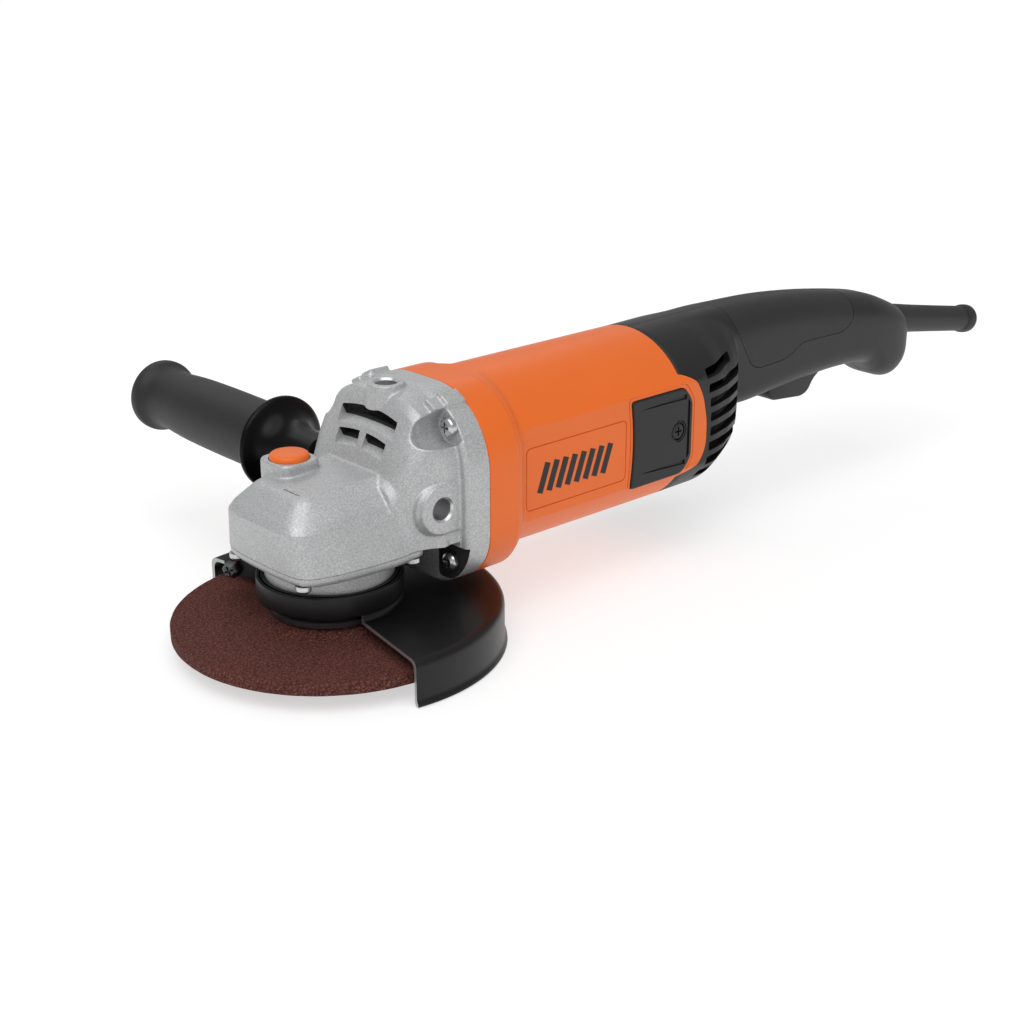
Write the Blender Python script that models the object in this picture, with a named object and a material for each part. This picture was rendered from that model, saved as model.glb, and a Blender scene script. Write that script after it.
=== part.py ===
"""Long-body angle grinder with a 150 mm wheel, built as separate pieces.

Sizes are in millimetres, and each mesh is made in metres. The origin is the flat end of the spindle.
+X runs along the motor to the rear handle, +Y to the side handle, and +Z up along the spindle.
"""

import math

import bmesh
import bpy
from mathutils import Matrix, Vector

MM = 0.001
GAP = 0.3

# Head and drive
MOTOR_Z = 63.3
WHEEL_R = 75.0
SPINDLE_TOP = 70.0
BOSS_R = 30.3
SEAM_Z = 42.0
COVER_LOW = 37.0
CROWN_TEETH = 27
PINION_TEETH = 9
CROWN_R = 27.0
FACE_WIDTH = 5.0
LOCK_X, LOCK_Y = -8.0, 17.0
LOCK_HOLE_R = 3.1
BUTTON_R = 9.3

# Guard
GUARD_R = 81.5
GUARD_HALF_ANGLE = 100.0
GUARD_TOP = 13.8
GUARD_LIP = -8.0
BAND_LOW, BAND_HIGH = 17.6, 28.0
CLAMP_ANGLE = 116.0
CLAMP_R = 49.0

# Motor housing
FLANGE_FRONT = 44.5
FLANGE_JOINT = 58.3
FLANGE_REAR = 78.0
FLANGE_HALF = 47.0
BARREL_X = 85.0
BARREL_END = 196.0
BARREL_R = 46.25
BARREL_HALF = 40.0
WALL = 3.0
CASE_SCREW_Y = 34.5
CASE_SCREW_DZ = 33.0
CORE_X = (95.0, 150.0)
CORE_BORE = 23.0
BRUSH_X = 176.0
COVER_SCREW_X = 193.0
BRUSH_COVER_Z = 62.5

# Rear handle
TRIGGER_PIVOT = (308.0, 62.5)
HANDLE_SCREWS = ((284.0, 66.0), (378.0, 72.0))
BOOT_START = (428.0, 73.2)
BOOT_TILT = 10.0
BOOT_LENGTH = 86.0

# Side handle
SOCKET_X, SOCKET_Z = 34.0, 60.7
SOCKET_FACE = 42.0


# ---------------------------------------------------------------- materials

def material(name, colour, roughness, metallic=0.0):
    found = bpy.data.materials.get(name)
    if found:
        return found
    made = bpy.data.materials.new(name)
    made.use_nodes = True
    shader = made.node_tree.nodes["Principled BSDF"]
    shader.inputs["Base Color"].default_value = (*colour, 1.0)
    shader.inputs["Roughness"].default_value = roughness
    shader.inputs["Metallic"].default_value = metallic
    return made


def orange_plastic():
    return material("orange_plastic", (0.82, 0.145, 0.03), 0.42)


def black_plastic():
    return material("black_plastic", (0.022, 0.022, 0.024), 0.5)


def soft_rubber():
    return material("soft_rubber", (0.028, 0.028, 0.031), 0.72)


def cast_aluminium():
    return material("cast_aluminium", (0.56, 0.57, 0.58), 0.45, 0.75)


def bright_steel():
    return material("bright_steel", (0.6, 0.6, 0.6), 0.28, 1.0)


def dark_steel():
    return material("dark_steel", (0.12, 0.12, 0.13), 0.4, 1.0)


def guard_paint():
    return material("guard_paint", (0.012, 0.012, 0.013), 0.35, 0.2)


def wheel_grit():
    return material("wheel_grit", (0.11, 0.025, 0.018), 0.9)


def copper():
    return material("copper", (0.72, 0.3, 0.14), 0.35, 0.9)


def brass():
    return material("brass", (0.6, 0.42, 0.16), 0.35, 0.9)


def carbon():
    return material("carbon", (0.03, 0.03, 0.03), 0.65)


# ---------------------------------------------------------------- builders

def clear_scene():
    for obj in list(bpy.data.objects):
        bpy.data.objects.remove(obj, do_unlink=True)


def to_object(name, shape, look, origin=(0.0, 0.0, 0.0)):
    """An object from a bmesh in millimetres, with its own origin on the part's axis."""
    bmesh.ops.remove_doubles(shape, verts=shape.verts, dist=0.002)
    bmesh.ops.recalc_face_normals(shape, faces=shape.faces)
    centre = Vector(origin)
    bmesh.ops.translate(shape, verts=shape.verts, vec=-centre)
    bmesh.ops.scale(shape, verts=shape.verts, vec=(MM, MM, MM))
    mesh = bpy.data.meshes.new(name)
    shape.to_mesh(mesh)
    shape.free()
    obj = bpy.data.objects.new(name, mesh)
    obj.location = centre * MM
    bpy.context.scene.collection.objects.link(obj)
    if look:
        mesh.materials.append(look)
    return smooth(obj)


def smooth(obj, angle=32.0):
    obj.data.shade_smooth()
    obj.data.set_sharp_from_angle(angle=math.radians(angle))
    return obj


def oriented(shape, axis, centre=(0.0, 0.0, 0.0)):
    """Turns a shape built about Z so that it lies about another axis, and moves it."""
    turns = {
        "X": Matrix.Rotation(math.radians(90), 4, "Y"),
        "Y": Matrix.Rotation(math.radians(-90), 4, "X"),
        "Z": Matrix.Identity(4),
    }
    bmesh.ops.transform(shape, verts=shape.verts, matrix=Matrix.Translation(centre) @ turns[axis])
    return shape


def turned(profile, steps=32, start=0.0, sweep=360.0):
    """A solid of revolution: a closed (radius, height) outline turned about Z."""
    shape = bmesh.new()
    first = math.radians(start)
    corners = [
        shape.verts.new((radius * math.cos(first), radius * math.sin(first), height))
        for radius, height in profile
    ]
    face = shape.faces.new(corners)
    if sweep < 360.0:
        bmesh.ops.spin(shape, geom=[face], axis=(0, 0, 1), cent=(0, 0, 0), steps=steps,
                       angle=math.radians(sweep))
        return shape
    bmesh.ops.delete(shape, geom=[face], context="FACES_ONLY")
    on_axis = [e for e in shape.edges if max(v.co.xy.length for v in e.verts) < 1e-6]
    bmesh.ops.delete(shape, geom=on_axis, context="EDGES")
    bmesh.ops.spin(shape, geom=list(shape.edges), axis=(0, 0, 1), cent=(0, 0, 0), steps=steps,
                   angle=math.tau, use_merge=True)
    bmesh.ops.remove_doubles(shape, verts=shape.verts, dist=0.001)
    return shape


def ring_profile(inner, outer, low, high, chamfer=0.0):
    """The outline of a plain ring, with its outer corners cut back by chamfer."""
    if chamfer == 0.0:
        return [(inner, low), (outer, low), (outer, high), (inner, high)]
    return [
        (inner, low), (outer - chamfer, low), (outer, low + chamfer),
        (outer, high - chamfer), (outer - chamfer, high), (inner, high),
    ]


def loft(rings):
    """A closed skin over rings that have equal numbers of points."""
    shape = bmesh.new()
    rows = [[shape.verts.new(point) for point in ring] for ring in rings]
    for lower, upper in zip(rows, rows[1:]):
        for i in range(len(lower)):
            j = (i + 1) % len(lower)
            shape.faces.new((lower[i], lower[j], upper[j], upper[i]))
    shape.faces.new(rows[0])
    shape.faces.new(rows[-1])
    return shape


def prism(outline, axis, low, high):
    """An outline pushed along an axis: (y, z) points for X, (x, z) for Y, and (x, y) for Z."""
    place = {
        "X": lambda u, v, w: (w, u, v),
        "Y": lambda u, v, w: (u, w, v),
        "Z": lambda u, v, w: (u, v, w),
    }[axis]
    return loft([[place(u, v, w) for u, v in outline] for w in (low, high)])


def box(low, high):
    return prism([(low[0], low[1]), (high[0], low[1]), (high[0], high[1]), (low[0], high[1])],
                 "Z", low[2], high[2])


def rounded(outline, radius, steps=3):
    """The outline with each corner replaced by a short curve of about this radius."""
    smooth_outline = []
    for i, corner in enumerate(outline):
        here = Vector(corner)
        before = Vector(outline[i - 1]) - here
        after = Vector(outline[(i + 1) % len(outline)]) - here
        reach = min(radius, before.length * 0.45, after.length * 0.45)
        enter = here + before.normalized() * reach
        leave = here + after.normalized() * reach
        for k in range(steps + 1):
            t = k / steps
            bend = enter * (1 - t) ** 2 + here * (2 * t * (1 - t)) + leave * t ** 2
            smooth_outline.append((bend.x, bend.y))
    return smooth_outline


def section(x, half, low, high, top_flat, top_r, low_flat, low_r, arc=4):
    """A rounded section across X. Each corner is an arc centred at its flat, cut at the half width."""
    points = []
    for side, centre_z, radius, flat, up in (
        (1, high - top_r, top_r, top_flat, 1), (-1, high - top_r, top_r, top_flat, 1),
        (-1, low + low_r, low_r, low_flat, -1), (1, low + low_r, low_r, low_flat, -1),
    ):
        first = math.acos(min(1.0, (half - flat) / radius))
        angles = [first + (math.pi / 2 - first) * k / arc for k in range(arc + 1)]
        if side * up < 0:
            angles.reverse()
        for angle in angles:
            y = side * (flat + radius * math.cos(angle))
            points.append((x, y, centre_z + up * radius * math.sin(angle)))
    return points


def rounded_section(x, half, low, high, top_r, low_r, arc=4):
    return section(x, half, low, high, half - top_r, top_r, half - low_r, low_r, arc)


def flange_section(x, inset=0.0):
    """The rounded square where the gear case meets the motor housing."""
    half = FLANGE_HALF - inset
    return rounded_section(x, half, MOTOR_Z - half, MOTOR_Z + half, 36.7 - inset, 27.5 - inset)


def barrel_section(x, inset=0.0):
    radius = BARREL_R - inset
    return section(x, BARREL_HALF - inset, MOTOR_Z - radius, MOTOR_Z + radius, 0.0, radius, 0.0, radius)


def coil(name, centre, axis, radius, wire, length, turns, look):
    """A round-wire compression spring made as a closed helical tube."""
    steps_per_turn, sides = 8, 4
    count = int(turns * steps_per_turn)
    rings = []
    for i in range(count + 1):
        angle = math.tau * i / steps_per_turn
        height = wire + (length - 2 * wire) * i / count
        rings.append([
            (
                (radius + wire * math.cos(math.tau * k / sides)) * math.cos(angle),
                (radius + wire * math.cos(math.tau * k / sides)) * math.sin(angle),
                height + wire * math.sin(math.tau * k / sides),
            )
            for k in range(sides)
        ])
    return to_object(name, oriented(loft(rings), axis, centre), look)


def cleaned(mesh):
    """The mesh with the slivers of a Boolean merged away and its flat areas made into single faces."""
    shape = bmesh.new()
    shape.from_mesh(mesh)
    bmesh.ops.remove_doubles(shape, verts=shape.verts, dist=0.01 * MM)
    bmesh.ops.dissolve_degenerate(shape, edges=shape.edges, dist=0.01 * MM)
    bmesh.ops.dissolve_limit(shape, angle_limit=math.radians(0.5), verts=shape.verts, edges=shape.edges)
    loose = [e for e in shape.edges if not e.link_faces]
    bmesh.ops.delete(shape, geom=loose, context="EDGES")
    bmesh.ops.triangulate(shape, faces=shape.faces)
    seen = set()
    scraps = []
    for first in shape.faces:
        if first in seen:
            continue
        island, front = {first}, [first]
        while front:
            near = {f for e in front.pop().edges for f in e.link_faces} - island
            island |= near
            front.extend(near)
        seen |= island
        if len(island) < 4:
            scraps.extend(island)
    bmesh.ops.delete(shape, geom=scraps, context="FACES")
    shape.to_mesh(mesh)
    shape.free()
    return mesh


def shape_of(obj):
    """The object's mesh as a bmesh in millimetres, for use as a tool. The object goes."""
    shape = bmesh.new()
    shape.from_mesh(obj.data)
    bmesh.ops.scale(shape, verts=shape.verts, vec=(1 / MM, 1 / MM, 1 / MM))
    bpy.data.objects.remove(obj, do_unlink=True)
    return shape


def cutter(name, shape):
    tool = to_object(name, shape, None)
    tool.hide_render = True
    tool.display_type = "WIRE"
    return tool


def combine(obj, shapes, operation):
    """Boolean-combines shapes with an object, one after another, and keeps the result as its mesh."""
    for shape in shapes:
        tool = cutter(obj.name + "_tool", shape)
        step = obj.modifiers.new(operation.lower(), "BOOLEAN")
        step.operation = operation
        step.object = tool
        graph = bpy.context.evaluated_depsgraph_get()
        result = bpy.data.meshes.new_from_object(obj.evaluated_get(graph))
        obj.modifiers.clear()
        obj.data = cleaned(result)
        bpy.data.objects.remove(tool, do_unlink=True)
    return smooth(obj)


def join(obj, *shapes):
    return combine(obj, shapes, "UNION")


def cut(obj, *shapes):
    return combine(obj, shapes, "DIFFERENCE")


def keep(obj, *shapes):
    return combine(obj, shapes, "INTERSECT")


def mirrored(obj, name):
    """The same piece on the other side of the motor's middle plane."""
    mesh = obj.data.copy()
    mesh.transform(Matrix.Scale(-1, 4, (0, 1, 0)))
    mesh.flip_normals()
    twin = bpy.data.objects.new(name, mesh)
    twin.location = (obj.location.x, -obj.location.y, obj.location.z)
    bpy.context.scene.collection.objects.link(twin)
    return twin


def cylinder(radius, low, high, axis="Z", centre=(0.0, 0.0, 0.0), steps=20):
    return oriented(turned([(0, low), (radius, low), (radius, high), (0, high)], steps), axis, centre)


def screw(name, tip, direction, head_r, head_h, shank_r, length, look):
    """A pan-head screw whose head's outer face is at tip and whose shank runs along direction."""
    profile = [
        (0, 0), (head_r * 0.8, 0), (head_r, head_h * 0.4), (head_r, head_h),
        (shank_r, head_h), (shank_r, length), (0, length),
    ]
    turn = Vector((0, 0, 1)).rotation_difference(Vector(direction)).to_matrix().to_4x4()
    obj = to_object(name, turned(profile, 8), look)
    obj.data.transform(turn)
    obj.location = Vector(tip) * MM
    return obj


# ---------------------------------------------------------------- gear head

def head_outline(z, points, slope=0.0):
    """The head's plan at one height: half of it is listed from the front to the rear."""
    front_x = points[0][0]
    near = [(x, -y, z + slope * (x - front_x)) for x, y in points]
    far = [(x, y, z + slope * (x - front_x)) for x, y in reversed(points[1:])]
    return near + far


SEAM_PLAN = [(-38.6, 0), (-38.2, 15), (-36.8, 25.5), (-33.6, 30.6), (-28, 33.4), (-14, 36.4), (8, 38.1),
             (24, 37), (40, 37)]
SHOULDER_PLAN = [(-40.6, 0), (-40.2, 14), (-38.6, 22.5), (-35.6, 26.6), (-30, 29.2), (-18, 31), (5, 31.6),
                 (20, 34), (40, 35)]
CREST_PLAN = [(-38.6, 0), (-38.2, 13), (-36.8, 20.8), (-33.8, 24.7), (-28.6, 27), (-17, 28.8), (5, 29.6),
              (20, 31), (40, 33)]
RIM_PLAN = [(-29.8, 0), (-29.6, 11), (-28.6, 16.2), (-26, 18.8), (-22, 19.9), (-9, 20.4), (8, 20.8),
            (16, 21), (40, 21)]
PLATEAU_PLAN = [(-27.6, 0), (-27.4, 10), (-26.5, 14.5), (-24, 16.8), (-20.6, 17.7), (-9, 18.2), (8, 18.6),
                (16, 19), (40, 19)]


def head_block():
    slope = 2.0 / 43.6
    return loft([
        head_outline(SEAM_Z + GAP / 2, SEAM_PLAN),
        head_outline(61.5, SHOULDER_PLAN),
        head_outline(65.0, CREST_PLAN),
        head_outline(72.8, RIM_PLAN, slope),
        head_outline(74.3, PLATEAU_PLAN, slope),
    ])


def throat():
    """The rising rear part of the gear case, up to its round top."""
    return loft([
        rounded_section(12.0, 33.0, 44.0, 73.0, 13.0, 2.0),
        rounded_section(15.5, 34.0, 43.0, 76.2, 13.5, 2.0),
        rounded_section(22.5, 37.0, 43.0, 91.5, 17.0, 2.0),
        rounded_section(28.5, 39.0, 43.0, 103.6, 22.0, 2.0),
        rounded_section(32.0, 40.0, 43.0, 107.6, 26.0, 2.0),
        rounded_section(37.0, 41.0, 43.0, 109.3, 31.0, 2.0),
        rounded_section(48.0, 42.0, 43.0, 109.6, 35.0, 2.0),
    ])


def case_flange():
    return loft([
        flange_section(FLANGE_FRONT, 1.6),
        flange_section(FLANGE_FRONT + 1.8),
        flange_section(FLANGE_JOINT - GAP / 2),
    ])


def lock_boss():
    outline = [(-19, 6), (3.5, 6), (3.5, 28.6), (-19, 28.6)]
    base = rounded(outline, 7.0)
    top = [(LOCK_X + (x - LOCK_X) * 0.93, LOCK_Y + (y - LOCK_Y) * 0.93) for x, y in base]
    return loft([
        [(x, y, 66.0) for x, y in base],
        [(x, y, 79.4) for x, y in base],
        [(x, y, 80.4) for x, y in top],
    ])


def slope_vents():
    """Three openings across the face that rises at the rear of the head."""
    lean = Matrix.Rotation(math.radians(-26.5), 4, "Y")
    vents = []
    for height, along, half, across in ((96.4, 23.8, 3.0, (-20.5, 20.5)), (86.6, 19.6, 2.6, (-17.5, -2.0)),
                                        (86.6, 19.6, 2.6, (2.0, 17.5))):
        shape = box((-9.0, across[0], -half), (14.0, across[1], half))
        bmesh.ops.transform(shape, verts=shape.verts,
                            matrix=Matrix.Translation((along, 0, height)) @ lean)
        vents.append(shape)
    return vents


def case_screw_places():
    return [(side * CASE_SCREW_Y, MOTOR_Z + up * CASE_SCREW_DZ) for up in (1, -1) for side in (-1, 1)]


def cover_screw_places():
    return [(-33.2, -26.0), (-33.2, 26.0), (22.8, -33.0), (22.8, 33.0)]


def gear_case():
    obj = to_object("gear_case", head_block(), cast_aluminium())
    join(obj, throat())
    join(obj, case_flange())
    lugs = [cylinder(4.6, 45.5, FLANGE_JOINT - 0.5, "X", (0, side * 27.5, 103.6), 10) for side in (-1, 1)]
    socket_bosses = [
        cylinder(12.0, 30.0, SOCKET_FACE, "Y", (SOCKET_X, 0, SOCKET_Z), 18),
        cylinder(12.0, -SOCKET_FACE, -30.0, "Y", (SOCKET_X, 0, SOCKET_Z), 18),
        cylinder(9.5, 98.0, 111.6, "Z", (36.0, 0, 0), 18),
    ]
    join(obj, lock_boss(), *socket_bosses, *lugs)
    gear_room = turned([(0, 40.0), (28.8, 40.0), (28.8, 59.6), (8.8, 59.6), (8.8, SPINDLE_TOP + 0.8),
                        (0, SPINDLE_TOP + 0.8)], 26)
    pinion_room = cylinder(11.4, 14.0, 48.0, "X", (0, 0, MOTOR_Z), 18)
    bearing_seat = cylinder(16.3, 46.7, 60.0, "X", (0, 0, MOTOR_Z), 24)
    air_duct = box((29.0, -18.0, 83.0), (60.0, 18.0, 102.0))
    cut(obj, gear_room, pinion_room, bearing_seat, air_duct)
    cut(obj, *slope_vents())
    sockets = [
        cylinder(5.2, 27.3, 50.0, "Y", (SOCKET_X, 0, SOCKET_Z), 14),
        cylinder(5.2, -50.0, -27.3, "Y", (SOCKET_X, 0, SOCKET_Z), 14),
        cylinder(5.2, 103.5, 120.0, "Z", (36.0, 0, 0), 14),
        cylinder(2.9, 58.0, 90.0, "Z", (LOCK_X, LOCK_Y, 0), 12),
        cylinder(BUTTON_R + 0.4, 74.2, 90.0, "Z", (LOCK_X, LOCK_Y, 0), 24),
    ]
    cut(obj, *sockets)
    holes = []
    for y, z in case_screw_places():
        holes.append(cylinder(6.6, 30.0, 46.0, "X", (0, y, z), 12))
        holes.append(cylinder(2.9, 40.0, 60.0, "X", (0, y, z), 8))
    for x, y in cover_screw_places():
        holes.append(cylinder(2.1, 38.0, 53.0, "Z", (x, y, 0), 8))
    return cut(obj, *holes)


def gear_cover():
    """The plate under the head, with the boss that the guard clamps to and the spindle bearing's seat."""
    plan = SEAM_PLAN[:7] + [(20, 37.4), (27, 36), (30.5, 30), (31.5, 16)]

    def ring(z, inset):
        shrunk = [(x * (1 - inset / 34.0), y * (1 - inset / 36.0)) for x, y in plan]
        return head_outline(z, shrunk)

    plate = loft([ring(COVER_LOW, 2.4), ring(COVER_LOW + 1.4, 0.5), ring(SEAM_Z - GAP / 2, 0.2)])
    obj = to_object("gear_case_cover", plate, cast_aluminium())
    join(obj, cylinder(BOSS_R, 17.4, 40.0, steps=32))
    seat = turned([(0, 16.0), (18.0, 16.0), (18.0, 21.8), (20.2, 21.8), (20.2, 34.4), (17.0, 34.4),
                   (17.0, 45.0), (0, 45.0)], 28)
    cut(obj, seat)
    holes = [cylinder(2.1, 30.0, 45.0, "Z", (x, y, 0), 8) for x, y in cover_screw_places()]
    recesses = [cylinder(4.4, 30.0, 38.4, "Z", (x, y, 0), 10) for x, y in cover_screw_places()]
    return cut(obj, *holes, *recesses)


def head_screws():
    for number, (x, y) in enumerate(cover_screw_places(), 1):
        screw(f"cover_screw_{number}", (x, y, 34.4), (0, 0, 1), 3.7, 3.6, 1.8, 17.0, bright_steel())
    for number, (y, z) in enumerate(case_screw_places(), 1):
        screw(f"gear_case_screw_{number}", (42.0, y, z), (1, 0, 0), 4.5, 3.7, 2.4, 32.0, bright_steel())


# ---------------------------------------------------------------- drive train

def toothed_ring(levels, teeth, fractions):
    """A closed ring from (radius, height) pairs given for the gaps and for the teeth.

    levels lists ((radius, height) in a gap, (radius, height) on a tooth) round the section, and
    fractions are the four places in one pitch where the gap ends, the tooth's top starts and
    ends, and the next gap starts.
    """
    shape = bmesh.new()
    rows = []
    for number in range(teeth):
        for fraction, on_tooth in zip(fractions, (0, 1, 1, 0)):
            angle = math.tau * (number + fraction) / teeth
            rows.append([
                shape.verts.new((pair[on_tooth][0] * math.cos(angle), pair[on_tooth][0] * math.sin(angle),
                                 pair[on_tooth][1]))
                for pair in levels
            ])
    for here, ahead in zip(rows, rows[1:] + rows[:1]):
        for k in range(len(levels)):
            n = (k + 1) % len(levels)
            shape.faces.new((here[k], ahead[k], ahead[n], here[n]))
    return shape


def bevel_fractions(width_low, width_high):
    """Places of one centred tooth in its pitch, from its widths at the root and at the tip."""
    return (-width_low / 2, -width_high / 2, width_high / 2, width_low / 2)


def crown_gear():
    """The bevel gear on the spindle. Its teeth lie on a cone whose point is on both axes."""
    inner_r = CROWN_R - FACE_WIDTH
    rise = PINION_TEETH / CROWN_TEETH
    root, tip = -1.55, 0.75

    def on_cone(radius, offset):
        scale = radius / CROWN_R
        return (radius, MOTOR_Z - radius * rise + offset * scale)

    levels = [
        ((8.2, 46.0), (8.2, 46.0)),
        ((CROWN_R, 49.6), (CROWN_R, 49.6)),
        (on_cone(CROWN_R, root), on_cone(CROWN_R, tip)),
        (on_cone(inner_r, root), on_cone(inner_r, tip)),
        ((inner_r - 0.2, 52.0), (inner_r - 0.2, 52.0)),
        ((8.2, 52.0), (8.2, 52.0)),
    ]
    shape = toothed_ring(levels, CROWN_TEETH, bevel_fractions(0.5, 0.24))
    obj = to_object("crown_gear", shape, dark_steel())
    pin_r = math.hypot(LOCK_X, LOCK_Y)
    pin_angle = math.atan2(LOCK_Y, LOCK_X)
    holes = [
        cylinder(LOCK_HOLE_R, 40.0, 60.0, "Z",
                 (pin_r * math.cos(pin_angle + quarter * math.pi / 2),
                  pin_r * math.sin(pin_angle + quarter * math.pi / 2), 0), 10)
        for quarter in range(4)
    ]
    return cut(obj, *holes)


def pinion_gear():
    """The small bevel gear on the motor shaft, with a gap of its own facing the crown gear's tooth."""
    inner_x = CROWN_R - FACE_WIDTH
    rise = PINION_TEETH / CROWN_TEETH

    def on_cone(x, offset):
        return (x * rise + offset * x / CROWN_R, x)

    root, tip = -1.5, 0.75
    levels = [
        ((4.7, inner_x), (4.7, inner_x)),
        (on_cone(inner_x, root), on_cone(inner_x, tip)),
        (on_cone(CROWN_R, root), on_cone(CROWN_R, tip)),
        ((7.0, CROWN_R + 1.0), (7.0, CROWN_R + 1.0)),
        ((7.0, 36.0), (7.0, 36.0)),
        ((4.7, 36.0), (4.7, 36.0)),
    ]
    shape = toothed_ring(levels, PINION_TEETH, bevel_fractions(0.5, 0.22))
    half_pitch = Matrix.Rotation(math.pi / PINION_TEETH, 4, "Z")
    bmesh.ops.transform(shape, verts=shape.verts, matrix=half_pitch)
    centre = (0, 0, MOTOR_Z)
    return to_object("pinion_gear", oriented(shape, "X", centre), dark_steel(), centre)


def spindle():
    profile = [
        (0, 0), (6.4, 0), (7.0, 0.8), (7.0, 16.9), (8.4, 16.9), (8.4, 40.0), (7.9, 40.0), (7.9, 60.0),
        (5.0, 60.0), (5.0, SPINDLE_TOP - 0.6), (4.4, SPINDLE_TOP), (0, SPINDLE_TOP),
    ]
    return to_object("spindle", turned(profile, 20), bright_steel())


def head_bearings():
    to_object("spindle_bearing", turned(ring_profile(8.7, 19.9, 22.1, 34.1, 0.7), 24), bright_steel())
    to_object("dust_seal", turned(ring_profile(8.8, 17.7, 17.9, 21.6), 24), soft_rubber())
    to_object("needle_bearing", turned(ring_profile(5.3, 8.5, 60.6, 70.4), 20), bright_steel())


def inner_flange():
    profile = [
        (7.3, 6.2), (10.8, 6.2), (10.8, 10.8), (30.0, 10.8), (30.0, 14.2), (27.4, 14.2), (27.4, 16.6),
        (7.3, 16.6),
    ]
    return to_object("inner_flange", turned(profile, 26), dark_steel())


def grinding_wheel():
    profile = [
        (11.2, 4.5), (22.5, 4.5), (31.5, 0.0), (WHEEL_R, 0.0), (WHEEL_R, 6.0), (33.5, 6.0), (26.0, 10.5),
        (11.2, 10.5),
    ]
    return to_object("grinding_wheel", turned(profile, 40), wheel_grit())


def clamp_nut():
    profile = [(7.3, -1.4), (18.6, -1.4), (20.6, 0.6), (20.6, 4.2), (10.8, 4.2), (10.8, 5.8), (7.3, 5.8)]
    obj = to_object("clamp_nut", turned(profile, 20), dark_steel())
    holes = [
        cylinder(2.4, -5.0, 1.6, "Z", (15.0 * math.cos(a), 15.0 * math.sin(a), 0), 8)
        for a in (0, math.pi / 2, math.pi, math.pi * 1.5)
    ]
    return cut(obj, *holes)


def spindle_lock():
    """The push button, its steel pin and the spring under it."""
    cap = [(0, 79.4), (BUTTON_R, 79.4), (BUTTON_R, 81.9), (BUTTON_R - 0.8, 82.9), (BUTTON_R - 3.0, 83.5),
           (0, 83.7)]
    place = (LOCK_X, LOCK_Y, 0)
    button = oriented(turned(cap, 24), "Z", place)
    to_object("lock_button", button, orange_plastic(), (LOCK_X, LOCK_Y, 79.4))
    pin = [(0, 53.6), (1.9, 53.6), (2.5, 54.2), (2.5, 79.1), (0, 79.1)]
    to_object("lock_pin", oriented(turned(pin, 14), "Z", place), bright_steel(), (LOCK_X, LOCK_Y, 53.6))
    coil("lock_spring", (LOCK_X, LOCK_Y, 74.5), "Z", 4.4, 0.55, 4.6, 3.0, bright_steel())


# ---------------------------------------------------------------- guard

def wheel_guard():
    """A half pan with a rolled lip, on a collar that goes round the cover's boss."""
    inner = GUARD_R - 1.8
    pan = [
        (30.7, 12.0), (inner - 3.0, 12.0), (inner, 8.6), (inner, GUARD_LIP + 1.6), (inner + 0.9, GUARD_LIP),
        (GUARD_R + 1.4, GUARD_LIP), (GUARD_R, GUARD_LIP + 2.4), (GUARD_R, 9.4), (GUARD_R - 1.4, 12.6),
        (GUARD_R - 4.6, GUARD_TOP), (34.5, GUARD_TOP), (32.4, 17.0), (32.4, 22.0), (30.7, 22.0),
    ]
    shape = turned(pan, 22, -GUARD_HALF_ANGLE, 2 * GUARD_HALF_ANGLE)
    obj = to_object("wheel_guard", shape, guard_paint())
    collar = turned(ring_profile(30.7, 32.4, 17.2, 28.2), 32, start=3.0)
    return join(obj, collar)


def clamp_direction():
    angle = math.radians(CLAMP_ANGLE)
    return Vector((math.cos(angle), math.sin(angle), 0)), Vector((-math.sin(angle), math.cos(angle), 0))


def clamp_ear(offset):
    """One ear of the band, standing off the radial line through the clamp by offset."""
    outward, along = clamp_direction()
    ring = []
    root, tip, half = 33.4, 54.0, 1.1
    for reach, shift in ((root, -half), (tip, -half), (tip, half), (root, half)):
        place = outward * reach + along * (offset + shift)
        ring.append((place.x, place.y))
    return prism(ring, "Z", 18.4, 27.2)


def guard_clamp():
    outward, along = clamp_direction()
    opening = 7.0
    profile = ring_profile(32.8, 34.6, BAND_LOW, BAND_HIGH)
    band = turned(profile, 32, CLAMP_ANGLE + opening / 2, 360 - opening)
    obj = to_object("guard_clamp_band", band, guard_paint())
    join(obj, clamp_ear(-3.6), clamp_ear(3.6))
    centre = outward * CLAMP_R + Vector((0, 0, 22.8))
    spin = Vector((0, 0, 1)).rotation_difference(along).to_matrix().to_4x4()
    hole = oriented(cylinder(2.7, -12, 12, steps=12), "Z")
    bmesh.ops.transform(hole, verts=hole.verts, matrix=Matrix.Translation(centre) @ spin)
    cut(obj, hole)
    screw("guard_clamp_bolt", centre + along * 9.4, -along, 4.4, 4.2, 2.3, 18.0, dark_steel())
    return obj


# ---------------------------------------------------------------- motor

def lobe_outline(grow=0.0):
    """The side lobe of the housing that runs back past the seam round the brush cover."""
    outline = [(186, 33.5), (198, 36.7), (205, 38.0), (212, 42.0), (215.8, 50.0), (215.8, 63.0),
               (212.5, 77.0), (207.0, 86.7), (198, 91.2), (186, 92.5)]
    middle = Vector((190.0, BRUSH_COVER_Z))
    grown = []
    for point in outline:
        away = Vector(point) - middle
        grown.append(tuple(Vector(point) + away.normalized() * grow))
    return rounded(grown, 4.0, 1)


def brush_cover_outline(grow=0.0):
    outline = [(158.6 - grow, 85 + grow), (160.6 - grow, 62), (158.6 - grow, 38.8 - grow),
               (194 + grow, 38.8 - grow), (203.5 + grow, 48), (203.5 + grow, 76), (194 + grow, 85 + grow)]
    return rounded(outline, 3.0, 1)


def side_plates(outline, low, high):
    return [prism(outline, "Y", low, high), prism(outline, "Y", -high, -low)]


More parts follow.
